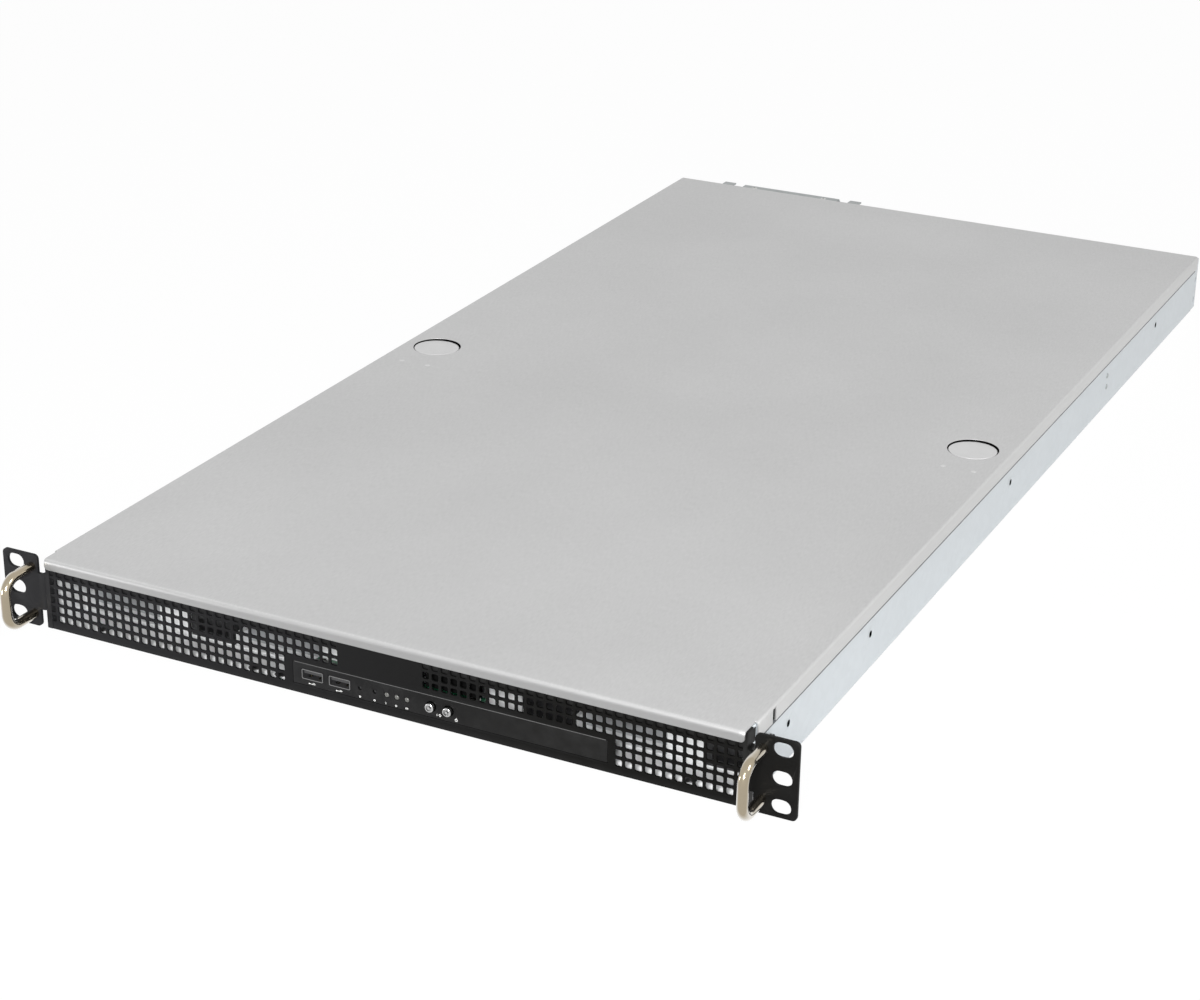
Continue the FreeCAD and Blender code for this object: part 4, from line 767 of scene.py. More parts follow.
def screwShell(x, y, z, radius, rise, socket, deep):
    # a domed head facing along -Y with a six-sided socket: the dome's height falls off as a quarter ellipse
    turn = fullTurn(24)

    def ring(size, height, sides=0):
        reach = size
        if sides:
            step = 2 * math.pi / sides
            reach = size * math.cos(step / 2) / np.cos((turn + 1e-9) % step - step / 2)
        return packed(x + reach * np.cos(turn), y - height, z + reach * np.sin(turn))

    rim = 0.35  # the share of the rise that stands straight up before the dome
    dome = [ring(radius * math.cos(t), rise * (rim + (1 - rim) * math.sin(t))) for t in np.linspace(0, 1.0, 5)]
    rows = [ring(radius, 0)] + dome + [ring(socket, rise, 6), ring(socket, rise - deep, 6)]
    return joined([gridShell(np.stack(rows), closed=True), fanShell(rows[0]), fanShell(rows[-1])])


def facingUp(shell):
    # a shape that faces along -Y is turned to face up
    return shell[0][:, (0, 2, 1)] * (1, 1, -1), shell[1]


def facingBack(shell):
    # a shape that faces along -Y is turned to face along +Y
    return shell[0] * (1, -1, 1), shell[1]


def facingOut(shell, sign):
    # a shape that faces along -Y is turned to face out of a side wall
    points = shell[0]
    return packed(-sign * points[:, 1], points[:, 0], points[:, 2]), shell[1]


for name, sign in (("Left", -1), ("Right", 1)):
    side = name.lower()
    makePiece("ear" + name, makeEar(sign), "powder", ["ear_" + side],
              gauge=ear["gauge"], edge=ear["edge"], outward=(0, -1, 0))
    makePiece("handle" + name, makeGrip(sign), "plate", ["handle_" + side])
screws, rears = [], []
for sign in (-1, 1):
    for legY, legZ in legScrews:
        head = facingOut(screwShell(legY, 0, legZ, *screwSizes["leg"]), sign)
        screws.append(moved(head, x=sign * (ear["wall"] + ear["gauge"])))
    for level in (-1, 1):
        z = rackMiddle + level * grip["halfRise"]
        rears.append(facingBack(screwShell(sign * grip["x"], 0, z, *screwSizes["handle"])))
makePiece("earScrews", screws, "blackScrew", ["ear_screws"])
makePiece("handleScrews", rears, "screw", ["handle_screws"])
print("ears, handles and their screws done")

# the chassis tray: floor, side walls and turned-in flanges from one sheet, with a paler, non-metallic copy of
# the zinc inside as painted light

tray = {"gauge": 1.0, "half": 213.1, "top": 42.2, "bend": 1.5, "flange": 6.0, "front": 0.6, "sideHole": 4.0,
        "holesY": (52.4, 167.2, 405.4, 732.9), "cell": 6.0, "endRise": 40.2, "endSlotY": (841.4, 844.0),
        "endSlotZ": ((4.5, 10.5), (20.0, 26.0), (33.0, 38.0)), "edge": 0.15, "bendSteps": 6, "support": 0.4}
trayRear = float(span("rear_panel")[0][1])
trayEnd = float(span("chassis_tray")[1][1])


def makeTray():
    # one section carried from front to rear, with cells left out for the side holes and the slots; each
    # hole is a circle joined to its cell's border along straight lines
    half, top, bend, extra = tray["half"], tray["top"], tray["bend"], tray["support"]
    hole = np.array([rackMiddle + tray["cell"], rackMiddle - tray["cell"]])
    wallZ = np.sort(np.concatenate([[tray["endRise"]], hole, np.ravel(tray["endSlotZ"])]))[::-1]
    rightSide = np.concatenate([
        [[half - tray["flange"], top], [half - bend - extra, top]],
        arc((half - bend, top - bend), bend, 90, 0, tray["bendSteps"]),
        [[half, top - bend - extra]],
        packed(half, wallZ),
        [[half, bend + extra]],
        arc((half - bend, bend), bend, 0, -90, tray["bendSteps"]),
        [[half - bend - extra, 0]]])
    section = np.concatenate([rightSide, (rightSide * (-1, 1))[::-1]])
    holeLines = np.concatenate([[y - tray["cell"], y + tray["cell"]] for y in tray["holesY"]])
    lines = np.sort(np.concatenate([[tray["front"], trayRear, trayEnd], holeLines, tray["endSlotY"]]))

    def left(x, z, y):
        wall = np.abs(np.abs(x) - half) < close
        holeCell = wall & (np.abs(z - rackMiddle) < tray["cell"]) & \
            (np.min(np.abs(y[..., None] - np.array(tray["holesY"])), axis=-1) < tray["cell"])
        behind = (y > trayRear) & (~wall | (z > tray["endRise"]))
        slots = wall & (y > tray["endSlotY"][0]) & (y < tray["endSlotY"][1]) & np.any(
            [(z > low) & (z < high) for low, high in tray["endSlotZ"]], axis=0)
        return holeCell | behind | slots

    shells = [sectionShell(section, lines, left)]
    for sign in (-1, 1):
        for y in tray["holesY"]:
            border = borderLoop(np.array([y - tray["cell"], y + tray["cell"]]), np.sort(wallZ),
                                y - tray["cell"], y + tray["cell"], hole.min(), hole.max())
            away = border - (y, rackMiddle)
            fine = np.linspace(away, np.roll(away, -1, axis=0), 6, endpoint=False, axis=1).reshape(-1, 2)
            outer = np.repeat(border, 6, axis=0)
            reach = np.linalg.norm(fine, axis=1, keepdims=True)
            inner = (y, rackMiddle) + tray["sideHole"] / 2 * fine / reach
            shells.append(swapped(ringShell(outer, inner, sign * half), (1, 0, 2)))
    return makePiece("chassisTray", shells, "zinc", ["chassis_tray"],
                     gauge=tray["gauge"], edge=tray["edge"], outward=(0, 0, -1), inside="zincLitInside")


trayPiece = makeTray()
print("chassis tray:", len(trayPiece.data.polygons), "faces")

# the input plate with its sockets, pinholes, lights and buttons

controls = {"x": (-51.2, 136.7), "z": (5.6, 18.3), "mid": 11.95, "face": -0.6, "gauge": 1.6, "edge": 0.2,
            "sockets": (-39.2, -22.2), "pins": (-9.6, -0.6), "lights": (6.9, 13.0, 19.1),
            "buttons": (33.8, 44.3), "socketWide": 13.1, "socketRise": 5.7, "socketRound": 0.7, "fit": 0.15,
            "pin": 1.1, "light": 1.5, "button": 3.05,
            "cuts": (-30.7, -14.2, -5.1, 3.1, 9.95, 16.05, 26.0, 39.05, 52.0),
            "edgeHighlightX": (-50.2, 135.7), "edgeHighlightY": (-0.63, -0.4), "edgeHighlightZ": (18.2, 18.5),
            "rim": 1.5, "rimY": 0.62, "rimGauge": 0.9}


def makeInputPlate():
    # the plate is cut into fields, each a flat ring between its outline and its opening
    face, mid, fit = controls["face"], controls["mid"], controls["fit"]
    loops = [roundedLoop(x, mid, controls["socketWide"] + 2 * fit, controls["socketRise"] + 2 * fit,
                         controls["socketRound"], 9) for x in controls["sockets"]]
    for kind in ("pin", "light", "button"):
        loops += [circleLoop(x, mid, controls[kind], 9) for x in controls[kind + "s"]]
    left, right = controls["x"]
    cuts = (left,) + controls["cuts"]
    shells = [ringShell(cornerLoop(x0, x1, *controls["z"], 9), loop, face)
              for x0, x1, loop in zip(cuts[:-1], cuts[1:], loops)]
    shells.append(fanShell(loopAt(cornerLoop(cuts[-1], right, *controls["z"]), face)))
    makePiece("inputPlate", shells, "powder", ["input_plate"], gauge=controls["gauge"],
              edge=controls["edge"], outward=(0, -1, 0))
    # painted highlight: a thin paler bar along the plate's top edge
    line = blockShell(controls["edgeHighlightX"], controls["edgeHighlightY"], controls["edgeHighlightZ"])
    makePiece("plateEdgeHighlight", [line], "edgeHighlight")
    (x0, x1, z0, z1), rim = panel["window"], controls["rim"]
    outer = cornerLoop(x0 - rim, x1 + rim, z0 - rim, z1 + rim)
    inner = cornerLoop(x0 + rim, x1 - rim, z0 + rim, z1 - rim)
    makePiece("inputPlateRim", [ringShell(outer, inner, controls["rimY"])], "rim",
              gauge=controls["rimGauge"], outward=(0, -1, 0))


socketParts = {"y": (-0.62, 13.38), "wall": 0.4, "edge": 0.06, "tongue": (11.2, 1.8), "tongueY": (0.4, 12.88),
               "contacts": (-1.5, -0.5, 0.5, 1.5), "contactStep": 2.3, "contact": (0.9, 0.22),
               "contactY": (1.0, 7.0), "springX": 3.2, "springHalf": 1.1, "springY": (2.0, 5.0),
               "springRise": 0.45, "springGauge": 0.15, "tongueEdge": 0.3, "contactSink": 0.01}


def makeSockets():
    # straight shells with a tongue and contacts; the springs bulge as the sine of half a turn along them
    shells, tongues, contacts, springs = [], [], [], []
    part, mid, halfRise = socketParts, controls["mid"], controls["socketRise"] / 2
    top, floor = mid + halfRise - 2 * part["wall"], mid - halfRise + part["wall"]
    low = top - part["tongue"][1]
    turn = np.linspace(0, math.pi, 9)
    start, reach = part["springY"]
    bulge = packed(start + reach * turn / math.pi, floor + part["springRise"] * np.sin(turn))
    for x in controls["sockets"]:
        loop = roundedLoop(x, mid, controls["socketWide"], controls["socketRise"], controls["socketRound"], 7)
        shells.append(drawnShell(loop, *part["y"], capStart=False))
        tongues.append(barShell(x, (low + top) / 2, *part["tongue"], part["tongueY"], part["tongueEdge"]))
        contacts += [barShell(x + step * part["contactStep"], low - part["contactSink"], *part["contact"],
                              part["contactY"]) for step in part["contacts"]]
        for centre in (x - part["springX"], x + part["springX"]):
            springs.append(carried(bulge, (centre - part["springHalf"], centre + part["springHalf"]), 0))
    makePiece("socketShells", shells, "socketMetal", ["front_sockets"],
              gauge=part["wall"], edge=part["edge"], outward=(0, 1, 0), inside="blackPlastic")
    makePiece("socketTongues", tongues, "blackPlastic")
    makePiece("socketContacts", contacts, "contact")
    makePiece("socketSprings", springs, "screw", gauge=part["springGauge"],
              outward=(0, 0, 1))


buttonCap = {"radius": 2.6, "front": -3.2, "round": 0.7, "ring": 1.3, "groove": 0.35, "ringDeep": 1.2,
             "crown": (0.2, 0.08), "lip": (0.1, 0.05), "end": 4.45, "collar": 3.5, "collarY": (2.05, 2.95)}


def makeButtons():
    # a turned profile from the middle of the face, through a ring-shaped groove, to the collar and the back
    front, radius, ring, groove = (buttonCap[key] for key in ("front", "radius", "ring", "groove"))
    collar, (near, far) = buttonCap["collar"], buttonCap["collarY"]
    bend, deep, end = buttonCap["round"], front + buttonCap["ringDeep"], buttonCap["end"]
    (crown, fall), (lip, lipFall) = buttonCap["crown"], buttonCap["lip"]
    profile = np.concatenate([
        [[tiny, front], [ring - groove - crown, front + fall], [ring - groove, deep],
         [ring + groove, deep], [ring + groove + lip, front + lipFall]],
        arc((front + bend, radius - bend), bend, 180, 90, 7)[:, ::-1],
        [[radius, near], [collar, near], [collar, far], [radius, far], [radius, end], [tiny, end]]])
    for name, x in zip(("locator", "power"), controls["buttons"]):
        makePiece(name + "Cap", [latheShell(profile, x, controls["mid"], 40)], "button",
                  [name + "_button"], name + "_press")


lightPipe = {"radius": 1.46, "dome": 0.9, "back": 9.0, "footHalf": 1.5, "footY": (5.35, 8.3), "footLow": 9.1}


def makeLights():
    # round pipes whose ends are quarter ellipses, each with a foot that goes down to the board
    dome = arc((0, 0), 1, 180, 90, 6)[:, ::-1] * (lightPipe["radius"], lightPipe["dome"]) + (tiny, 0)
    profile = np.concatenate([dome, [[lightPipe["radius"], lightPipe["back"]], [tiny, lightPipe["back"]]]])
    shells = []
    for x in controls["lights"]:
        shells += [latheShell(profile, x, controls["mid"], 24),
                   blockShell((x - lightPipe["footHalf"], x + lightPipe["footHalf"]), lightPipe["footY"],
                              (lightPipe["footLow"], controls["mid"]))]
    makePiece("lightPipes", shells, "lens", ["light_pipes"])


marks = {"y": (-0.615, -0.595), "line": 0.28, "low": 7.0, "hole": 0.6, "strokeRise": 1.1, "strokeStep": 0.6,
         "fork": ((0, 0, 3.4, 0.28), (0.9, 0.5, 1.4, 0.28), (-1.9, 0, 0.7, 0.7)),
         "buttonRings": ((5.4, -4.0, 0.75), (4.6, -4.4, 0.85)),
         "buttonBars": ((3.6, -4.0, 0.3, 1.3), (4.6, -3.8, 0.28, 1.2))}


def makeMarks():
    # small printed signs: a fork by each socket, a ring by each pinhole, strokes by each light and a ring
    # with a stroke by each button; bars are (x, z, wide, rise) and rings are (x, z, radius)
    low, line, mid = marks["low"], marks["line"], controls["mid"]
    rings = [(x, low, marks["hole"]) for x in controls["pins"]]
    bars = [(x + across, low + up, wide, rise) for x in controls["sockets"]
            for across, up, wide, rise in marks["fork"]]
    for number, x in enumerate(controls["lights"]):
        bars += [(x + (step - 1) * marks["strokeStep"], low, line, marks["strokeRise"])
                 for step in range(number + 1)]
    for x, ring, bar in zip(controls["buttons"], marks["buttonRings"], marks["buttonBars"]):
        rings.append((x + ring[0], mid + ring[1], ring[2]))
        bars.append((x + bar[0], mid + bar[1], *bar[2:]))
    shells = [barShell(*bar, marks["y"]) for bar in bars]
    shells += [ringShell(circleLoop(x, z, radius, 8), circleLoop(x, z, radius - line, 8), marks["y"][0])
               for x, z, radius in rings]
    makePiece("controlMarks", shells, "print")


makeInputPlate()
makeSockets()
makeButtons()
makeLights()
makeMarks()
print("input plate, sockets, lights and buttons done")

# small fixings and painted shade: posts at the ends of the panel, dark films painted as shade behind the side
# holes and the skirts' relief slots, painted shadow strips under the skirts, studs on the walls, rivets in the
# floor and a dark block painted as shade behind the middle of the grille

fixings = {"edge": 0.3, "postY": (-0.9, 6.0),
           "posts": (((210.9, 213.25), (0.1, 42.45)), ((213.25, 214.3), (0.1, 33.4))),
           "shadeFilmX": (212.9, 213.05), "shadeFilmRadius": 1.96, "coverX": (213.12, 213.3), "end": ((0.7, 8.6), (33.6, 41.4)),
           "slot": ((27.0, 33.0), (34.3, 41.4)), "seam": ((10.5, 837.5), (31.7, 34.3)),
           "grilleShade": ((27.0, 59.0), (6.0, 9.0), (19.5, 40.0)), "studY": 612.0, "studZ": (23.5, 15.5),
           "studRadius": 1.9, "studRise": 0.7, "studFoot": 213.0,
           "rivets": (-184.0, -84.0, -67.0, 178.0), "rivetY": 11.0, "rivetRadius": 3.4,
           "rivetBase": 1.0, "rivetRise": 1.3}


def domeProfile(radius, base, rise, steps):
    # the radius grows as the sine and the height falls as the cosine of a quarter turn
    turn = np.linspace(0, math.pi / 2, steps)
    return packed(radius * np.sin(turn) + tiny, base + rise * np.cos(turn))


def sideLathe(profile, sign, y, z, around):
    # a profile of radius against distance from the middle, turned round a line across the server
    return swapped(latheShell((profile * (1, sign))[::sign], y, z, around), (1, 0, 2))


def makeFixings():
    # blocks, discs and domes, most of them once on each side
    posts, shadeFilms, underSkirtShadows, ends, studs = [], [], [], [], []
    (low, high), shadeFilmRadius, wall, edge = fixings["shadeFilmX"], fixings["shadeFilmRadius"], tray["half"], fixings["edge"]
    disc = np.array([[tiny, low], [shadeFilmRadius, low], [shadeFilmRadius, high], [tiny, high]])
    dome = domeProfile(fixings["studRadius"], wall, fixings["studRise"], 7)
    stud = np.concatenate([dome, [[tiny, fixings["studFoot"]]]])
    for sign in (-1, 1):
        posts += [blockShell(np.multiply(xs, sign), fixings["postY"], zs, edge) for xs, zs in fixings["posts"]]
        # painted shade: dark discs behind the side holes
        shadeFilms += [sideLathe(disc, sign, y, rackMiddle, 24) for y in tray["holesY"]]
        studs += [sideLathe(stud, sign, fixings["studY"], z, 20) for z in fixings["studZ"]]
        # the slot blocks are painted shade behind the relief slots, the seam blocks painted shadow under the
        # skirts
        for shells, place in ((shadeFilms, "slot"), (underSkirtShadows, "seam"), (ends, "end")):
            shells.append(blockShell(np.multiply(fixings["coverX"], sign), *fixings[place]))
    dome = domeProfile(fixings["rivetRadius"], fixings["rivetBase"], fixings["rivetRise"], 8)
    rivets = [swapped(latheShell(dome, x, fixings["rivetY"], 28), (0, 2, 1)) for x in fixings["rivets"]]
    makePiece("panelPosts", posts, "powder")
    # painted shade: a dark block behind the middle of the grille
    makePiece("grilleShadeBlock", [blockShell(*fixings["grilleShade"], edge)], "shade")
    makePiece("wallStuds", studs, "zincDull")
    # painted shadow: dark strips on the wall under the skirts
    makePiece("skirtSeams", underSkirtShadows, "seam")
    makePiece("wallEnds", ends, "powder")
    makePiece("wallShadeFilms", shadeFilms, "shade")
    makePiece("floorRivets", rivets, "blackScrew")


makeFixings()
print("front fixings done")

# the rear: wall with its openings, two tabs, the strip and the screws

rear = {"inner": 837.0, "face": 838.0, "half": 212.1, "top": 42.2, "gauge": 1.0, "round": 1.5,
        "cells": ((-172.0, -72.0, (-168.0, -76.0, 4.0, 37.2)), (-56.0, 26.5, (-51.95, 24.05, 15.0, 29.0)),
                  (28.0, 191.0, (30.05, 188.85, 3.0, 39.0))),
        "tabs": (-181.7, -72.3), "tabWide": 10.0, "tabLow": 38.2, "tabY": (837.2, 852.0), "tabTop": 41.2,
        "ledge": ((-164.0, -80.0), (837.2, 850.9), (39.2, 40.18)), "strip": (-163.0, -81.0), "stripEnd": 852.0,
        "stripLow": 37.2, "stripTop": 41.2, "bend": 1.0, "support": 0.2,
        "edge": 0.15, "thin": 0.1, "ledgeEdge": 0.2}
screwPlaces = (  # size, places along x, places along y and the level under the heads
    ("strip", (-152.0, -92.0), (844.0,), 41.2), ("board", (-45.2, 48.3), (21.0,), 9.1),
    ("board", (-43.95, 70.05, 184.05), (600.2, 706.2, 812.2), 9.0))


def makeRearWall():
    # the wall is cut into fields, plain ones and ones with an opening; tabs and strip are profiles of two
    # straight lines with a quarter circle between them, carried straight
    face, high, bend, support = rear["face"], rear["top"], rear["bend"], rear["bend"] + rear["support"]
    shells, start = [], -rear["half"]
    for x0, x1, opening in rear["cells"]:
        inner = cornerLoop(*opening, 6, (rear["round"],) * 4)
        shells += [fanShell(loopAt(cornerLoop(start, x0, 0, high), face)),
                   ringShell(cornerLoop(x0, x1, 0, high, 6), inner, face)]
        start = x1
    shells.append(fanShell(loopAt(cornerLoop(start, rear["half"], 0, high), face)))
    makePiece("rearWall", shells, "zinc", ["rear_panel"], gauge=rear["gauge"],
              edge=rear["edge"], outward=(0, 1, 0))
    tabs, top = [], rear["tabTop"]
    for left in rear["tabs"]:
        corner = arc((left + bend, top - bend), bend, 180, 90, 5)
        profile = np.concatenate([[[left, rear["tabLow"]], [left, top - support]], corner,
                                  [[left + rear["tabWide"], top]]])
        tabs.append(carried(profile, rear["tabY"], 1))
    makePiece("rearTabs", tabs, "zincDull", gauge=rear["gauge"], edge=rear["thin"],
              outward=(0, 0, 1))
    makePiece("stripLedge", [blockShell(*rear["ledge"], rear["ledgeEdge"])], "zincDull")
    end, top = rear["stripEnd"], rear["stripTop"]
    corner = arc((end - bend, top - bend), bend, 90, 0, 5)
    profile = np.concatenate([[[face, top], [end - support, top]], corner, [[end, rear["stripLow"]]]])
    makePiece("rearStrip", [carried(profile, rear["strip"], 0)], "zincDull",
              ["rear_strip"], gauge=rear["gauge"], edge=rear["thin"], outward=(0, 0, 1))


def makeCaseScrews():
    # a domed head that faces up at every crossing of each group's x and y
    shells = []
    for size, xs, ys, level in screwPlaces:
        shells += [moved(facingUp(screwShell(x, 0, y, *screwSizes[size])), z=level) for x in xs for y in ys]
    makePiece("caseScrews", shells, "screw", ["case_screws"])


# the power supply's back: a wire guard over its fan and the mains inlet

guard = {"x": -146.0, "z": 21.6, "y": 837.75, "spokeY": 836.95, "rings": (5.5, 9.0, 12.5, 16.0), "wire": 0.55,
         "spokes": (5.5, 19.5), "angles": (45, 135, 225, 315), "screws": 17.63, "screwY": 837.2}
inlet = {"corners": (2, 2, 2, 2), "wellCorners": (5, 5, 1, 1), "pinEdge": 0.4,
         "x": (-117.7, -90.3), "z": (11.8, 31.4), "y": (815.0, 838.6), "wall": 1.6, "well": 822.0,
         "pins": ((-7.0, -2.0), (0.0, 2.0), (7.0, -2.0)), "pinWide": 2.0, "pinRise": 4.0, "pinEnd": 835.5}


def guardPath(turn, radii, y):
    # a path round or across the guard: its middle plus a radius times the cosine and the sine of a turn
    return packed(guard["x"] + radii * np.cos(turn), y, guard["z"] + radii * np.sin(turn))


def makeSupplyBack():
    # round wires on four spokes with a screw at each end, and an inlet whose well has two cut corners
    wires = [tubeShell(guardPath(fullTurn(64), radius, guard["y"]), guard["wire"], 8, closed=True)
             for radius in guard["rings"]]
    heads = []
    for turn in np.radians(guard["angles"]):
        wires.append(tubeShell(guardPath(turn, np.array(guard["spokes"]), guard["spokeY"]), guard["wire"], 8))
        head = facingBack(screwShell(0, 0, 0, *screwSizes["guard"]))
        heads.append(moved(head, *guardPath(turn, guard["screws"], guard["screwY"])))
    makePiece("fanGuard", wires, "screw")
    makePiece("guardScrews", heads, "screw")
    (x0, x1), (z0, z1), (y0, y1), wall = inlet["x"], inlet["z"], inlet["y"], inlet["wall"]
    outer = cornerLoop(x0, x1, z0, z1, 6, inlet["corners"])
    well = cornerLoop(x0 + wall, x1 - wall, z0 + wall, z1 - wall, 6, inlet["wellCorners"])
    body = [drawnShell(outer, y0, y1, capEnd=False), ringShell(outer, well, y1),
            drawnShell(well, y1, inlet["well"], capStart=False)]
    makePiece("mainsInlet", body, "blackPlastic", ["mains_inlet"])
    pins = [barShell((x0 + x1) / 2 + x, (z0 + z1) / 2 + z, inlet["pinWide"], inlet["pinRise"],
                     (inlet["well"], inlet["pinEnd"]), inlet["pinEdge"]) for x, z in inlet["pins"]]
    makePiece("inletPins", pins, "screw")


# the ports through the rear shield: stacked sockets, network jacks and a display socket

ports = {"edge": 0.2, "levels": (0.25, 0.75), "front": 822.0, "face": 838.4, "low": 9.0, "well": 829.0,
         "round": 0.5, "shadeY": (829.02, 829.3),
         "stacks": (44.65, 61.65), "stack": (13.2, 15.6), "mouth": (11.8, 4.9),
         "tongue": (10.6, 1.6), "tongueShift": 1.1, "tongueY": (829.0, 837.2), "stackShade": (11.6, 4.6),
         "jacks": (82.05, 101.05, 120.05), "jack": (16.0, 14.0), "jackMouth": (12.2, 8.4),
         "jackShade": (12.0, 8.2), "notch": (6.0, 1.7), "notchShift": -4.95, "notchY": (837.8, 838.45),
         "light": (2.6, 1.5), "lightX": 5.2, "lightShift": 5.75, "lightY": (837.9, 838.52),
         "contacts": 8, "contactStep": 1.05, "contact": (0.44, 0.5), "contactShift": 3.35,
         "contactY": (829.4, 835.4)}
display = {"x": 153.05, "wide": 30.0, "rise": 12.0, "corners": (1, 1, 1, 1), "mouth": (17.0, 8.0),
           "mouthRound": 1.8, "lean": 0.018,
           "flange": 838.1, "inner": 0.94, "insert": 0.9118, "insertY": (837.05, 837.9), "well": 837.0,
           "pinColumns": (-2, -1, 0, 1, 2), "pinRows": (-1, 0, 1), "pinStep": (2.3, 2.0), "pinShift": 0.5,
           "pin": 0.45, "pinY": (837.8, 837.94), "nutX": 12.3, "nutY": 838.05}


def portShell(middle, wide, rise, mouths):
    # a housing with one mouth for each of its equal cells, one over another
    left, right, low, face = middle - wide / 2, middle + wide / 2, ports["low"], ports["face"]
    shells = [drawnShell(cornerLoop(left, right, low, low + rise, 4), ports["front"], face, capEnd=False)]
    cell = rise / len(mouths)
    for level, mouth in enumerate(mouths):
        outer = cornerLoop(left, right, low + level * cell, low + (level + 1) * cell, 4)
        loop = roundedLoop(middle, low + (level + 0.5) * cell, *mouth, ports["round"], 4)
        shells += [ringShell(outer, loop, face), drawnShell(loop, face, ports["well"], capStart=False)]
    return joined(shells)


def makePorts():
    # housings with mouths, blocks about lines along Y for what stands in the mouths, and dark blocks painted as
    # shade deep in the mouths
    low, edge = ports["low"], ports["edge"]
    stacks = [portShell(x, *ports["stack"], [ports["mouth"]] * 2) for x in ports["stacks"]]
    makePiece("stackedSockets", stacks, "screw", ["rear_sockets"])
    tongues, portShadeBlocks, lights, contacts = [], [], [], []
    for x in ports["stacks"]:
        for z in low + ports["stack"][1] * np.array(ports["levels"]):
            tongues.append(barShell(x, z + ports["tongueShift"], *ports["tongue"], ports["tongueY"], edge))
            # painted shade deep in each socket mouth
            portShadeBlocks.append(barShell(x, z, *ports["stackShade"], ports["shadeY"]))
    makePiece("stackTongues", tongues, "socketBlue")
    jacks = [portShell(x, *ports["jack"], [ports["jackMouth"]]) for x in ports["jacks"]]
    makePiece("networkJacks", jacks, "screw", ["network_jacks"])
    z = low + ports["jack"][1] / 2
    for x in ports["jacks"]:
        # painted shade deep in each jack mouth and in its notch
        portShadeBlocks += [barShell(x, z, *ports["jackShade"], ports["shadeY"]),
                    barShell(x, z + ports["notchShift"], *ports["notch"], ports["notchY"])]
        for side in (x - ports["lightX"], x + ports["lightX"]):
            lights.append(barShell(side, z + ports["lightShift"], *ports["light"], ports["lightY"], edge))
        for step in range(ports["contacts"]):
            centre = x + (step - (ports["contacts"] - 1) / 2) * ports["contactStep"]
            contacts.append(barShell(centre, z + ports["contactShift"], *ports["contact"], ports["contactY"]))
    makePiece("jackLights", lights, "jackLight")
    makePiece("jackContacts", contacts, "contact")
    portShadeBlocks += makeDisplaySocket()
    makePiece("portShades", portShadeBlocks, "shade")


def makeDisplaySocket():
    # a flange with a leaning rounded mouth, whose width changes in step with its height, round a blue insert;
    # gives back the dark dots, painted shade that stands for its holes
    x, wide, rise, low, face = display["x"], display["wide"], display["rise"], ports["low"], ports["face"]
    z, flange = low + rise / 2, display["flange"]
    outline = cornerLoop(x - wide / 2, x + wide / 2, low, low + rise, 6, display["corners"])
    throat = roundedLoop(0, 0, *display["mouth"], display["mouthRound"], 6)
    throat[:, 0] *= 1 + display["lean"] * throat[:, 1]
    core, insert = throat * display["inner"] + (x, z), throat * display["insert"] + (x, z)
    throat += (x, z)
    body = [drawnShell(outline, ports["front"], flange, capEnd=False), ringShell(outline, throat, flange),
            drawnShell(throat, flange, face, capStart=False, capEnd=False), ringShell(throat, core, face),
            drawnShell(core, face, display["well"], capStart=False)]
    makePiece("displaySocket", body, "screw", ["display_port"])
    makePiece("displayInsert", [drawnShell(insert, *display["insertY"])], "socketBlue")
    across, up = display["pinStep"]
    nuts = [facingBack(screwShell(side, -display["nutY"], z, *screwSizes["display"]))
            for side in (x - display["nutX"], x + display["nutX"])]
    makePiece("displayNuts", nuts, "screw")
    dots = [circleLoop(x + column * across + row * display["pinShift"], z + row * up, display["pin"], 4)
            for row in display["pinRows"] for column in display["pinColumns"]]
    return [drawnShell(dot, *display["pinY"]) for dot in dots]


makeRearWall()
makeCaseScrews()
makeSupplyBack()
makePorts()
print("rear wall, guard, inlet and ports done")

# stage, lamps and camera

stage = {"reach": 6.0, "drop": 0.0002, "floor": (0.93, 0.93, 0.93), "share": 0.96, "world": (0.35, 1.0)}


def makeFloor():
    # a wide plane under the server that camera and mirror rays see nearly white
    mesh = bpy.data.meshes.new("studioFloor")
    corners = stage["reach"] * np.array([(-1, -1), (1, -1), (1, 1), (-1, 1)])
    mesh.from_pydata([(x, y, floorLevel - stage["drop"]) for x, y in corners], [], [(0, 1, 2, 3)])
    floor = bpy.data.objects.new("studioFloor", mesh)
    bpy.context.scene.collection.objects.link(floor)
    material, tree, shader = newMaterial("studioFloor", stage["floor"], 0.0, 0.9)
    glow = addNode(tree, "Emission", {"Color": (*white, 1)})
    rays = addNode(tree, "LightPath", {}).outputs
    seen = maths(tree, "MAXIMUM", rays["Is Camera Ray"], rays["Is Glossy Ray"])
    share = maths(tree, "MULTIPLY", seen, stage["share"])
    mix = addNode(tree, "MixShader", {0: share, 1: shader.outputs[0], 2: glow.outputs[0]})
    tree.links.new(mix.outputs[0], tree.nodes["Material Output"].inputs["Surface"])
    mesh.materials.append(material)


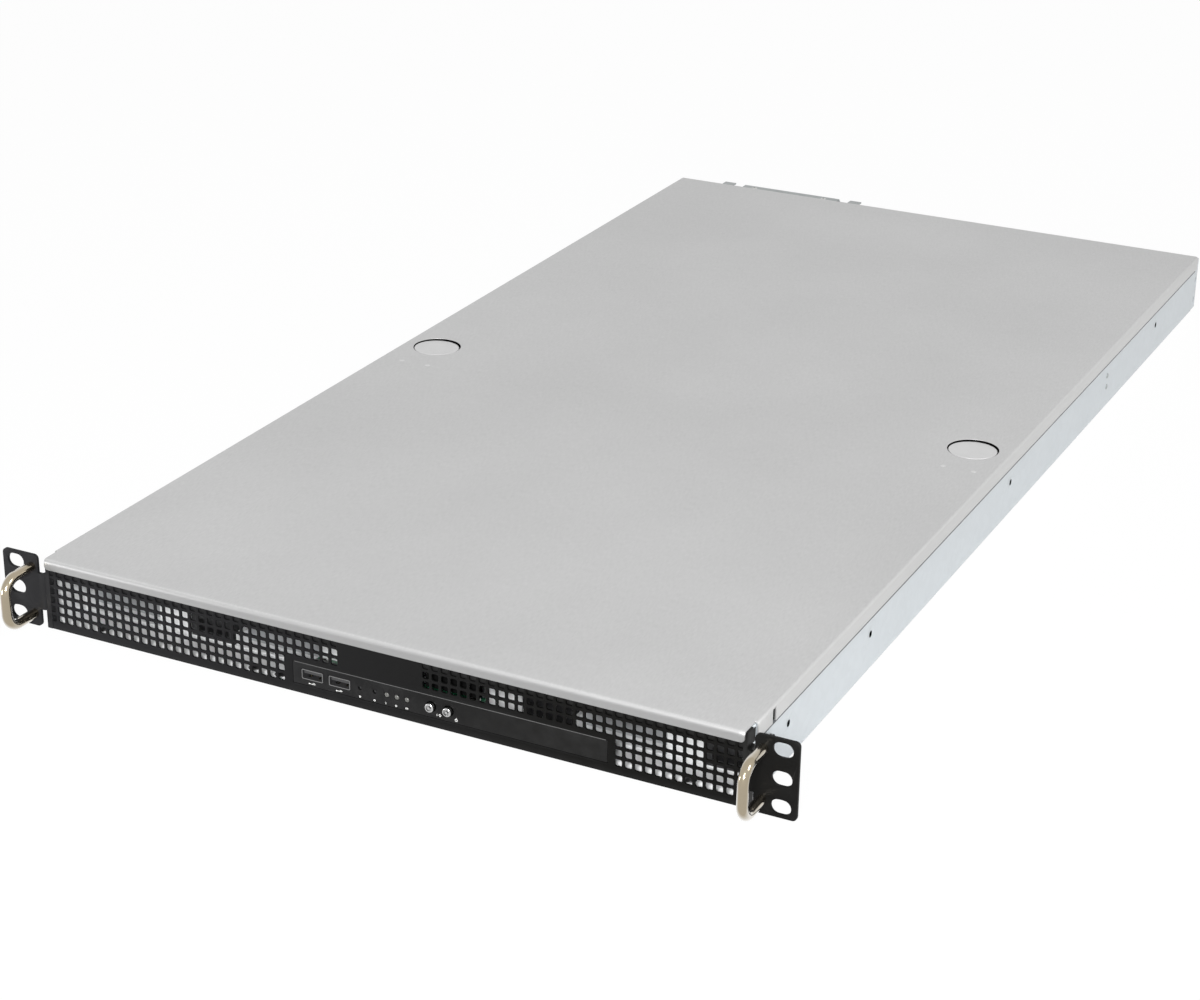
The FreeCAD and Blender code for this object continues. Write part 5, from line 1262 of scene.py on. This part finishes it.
def makeWorld():
    # a plain white surround that camera, glossy and transmission rays see at full level
    world = bpy.data.worlds.new("studio")
    world.use_nodes = True
    bpy.context.scene.world = world
    tree = world.node_tree
    background = tree.nodes["Background"]
    background.inputs["Color"].default_value = (*white, 1)
    rays = addNode(tree, "LightPath", {}).outputs
    seen = maths(tree, "MAXIMUM", rays["Is Camera Ray"], rays["Is Glossy Ray"])
    seen = maths(tree, "MAXIMUM", seen, rays["Is Transmission Ray"])
    tree.links.new(spread(tree, seen, *stage["world"]), background.inputs["Strength"])


lamps = {
    "keyLamp": {"place": (2.1, 0.0, 1.7), "aim": (0, 0.4, 0), "size": 0.8, "power": 24},
    "frontLamp": {"place": (0.56, -1.25, 0.74), "aim": (0, 0.1, 0), "size": 0.35, "power": 38},
    "leftLamp": {"place": (-0.56, -0.36, 0.03), "aim": (-0.15, 0, 0.01), "size": 0.1, "power": 1.3},
}


def makeLamps():
    # square lamps, each turned to face its aim
    for name, lamp in lamps.items():
        light = bpy.data.lights.new(name, "AREA")
        light.size = lamp["size"]
        light.energy = lamp["power"]
        body = bpy.data.objects.new(name, light)
        body.visible_camera = False
        toward = Vector(lamp["aim"]) - Vector(lamp["place"])
        turn = toward.to_track_quat("-Z", "Y").to_matrix().to_4x4()
        body.matrix_world = Matrix.Translation(lamp["place"]) @ turn
        bpy.context.scene.collection.objects.link(body)


view = {"place": (0.64709, -1.04218, 0.635485), "lens": 78.40, "sensor": 36.0, "clip": (0.05, 60),
        "right": (0.89347, 0.44896, 0.01218), "up": (-0.1898, 0.35287, 0.91622),
        "back": (0.40705, -0.82092, 0.4005)}


def makeCamera():
    # the camera fitted to the photo: its place and its three axes
    lens = bpy.data.cameras.new("photoCamera")
    lens.lens = view["lens"]
    lens.sensor_width = view["sensor"]
    lens.clip_start, lens.clip_end = view["clip"]
    camera = bpy.data.objects.new("photoCamera", lens)
    turn = Matrix((view["right"], view["up"], view["back"])).transposed()
    camera.matrix_world = Matrix.Translation(view["place"]) @ turn.to_4x4()
    bpy.context.scene.collection.objects.link(camera)
    bpy.context.scene.camera = camera


makeFloor()
makeWorld()
makeLamps()
makeCamera()
bpy.context.scene.view_settings.view_transform = "Standard"
print("stage, lamps and camera done")
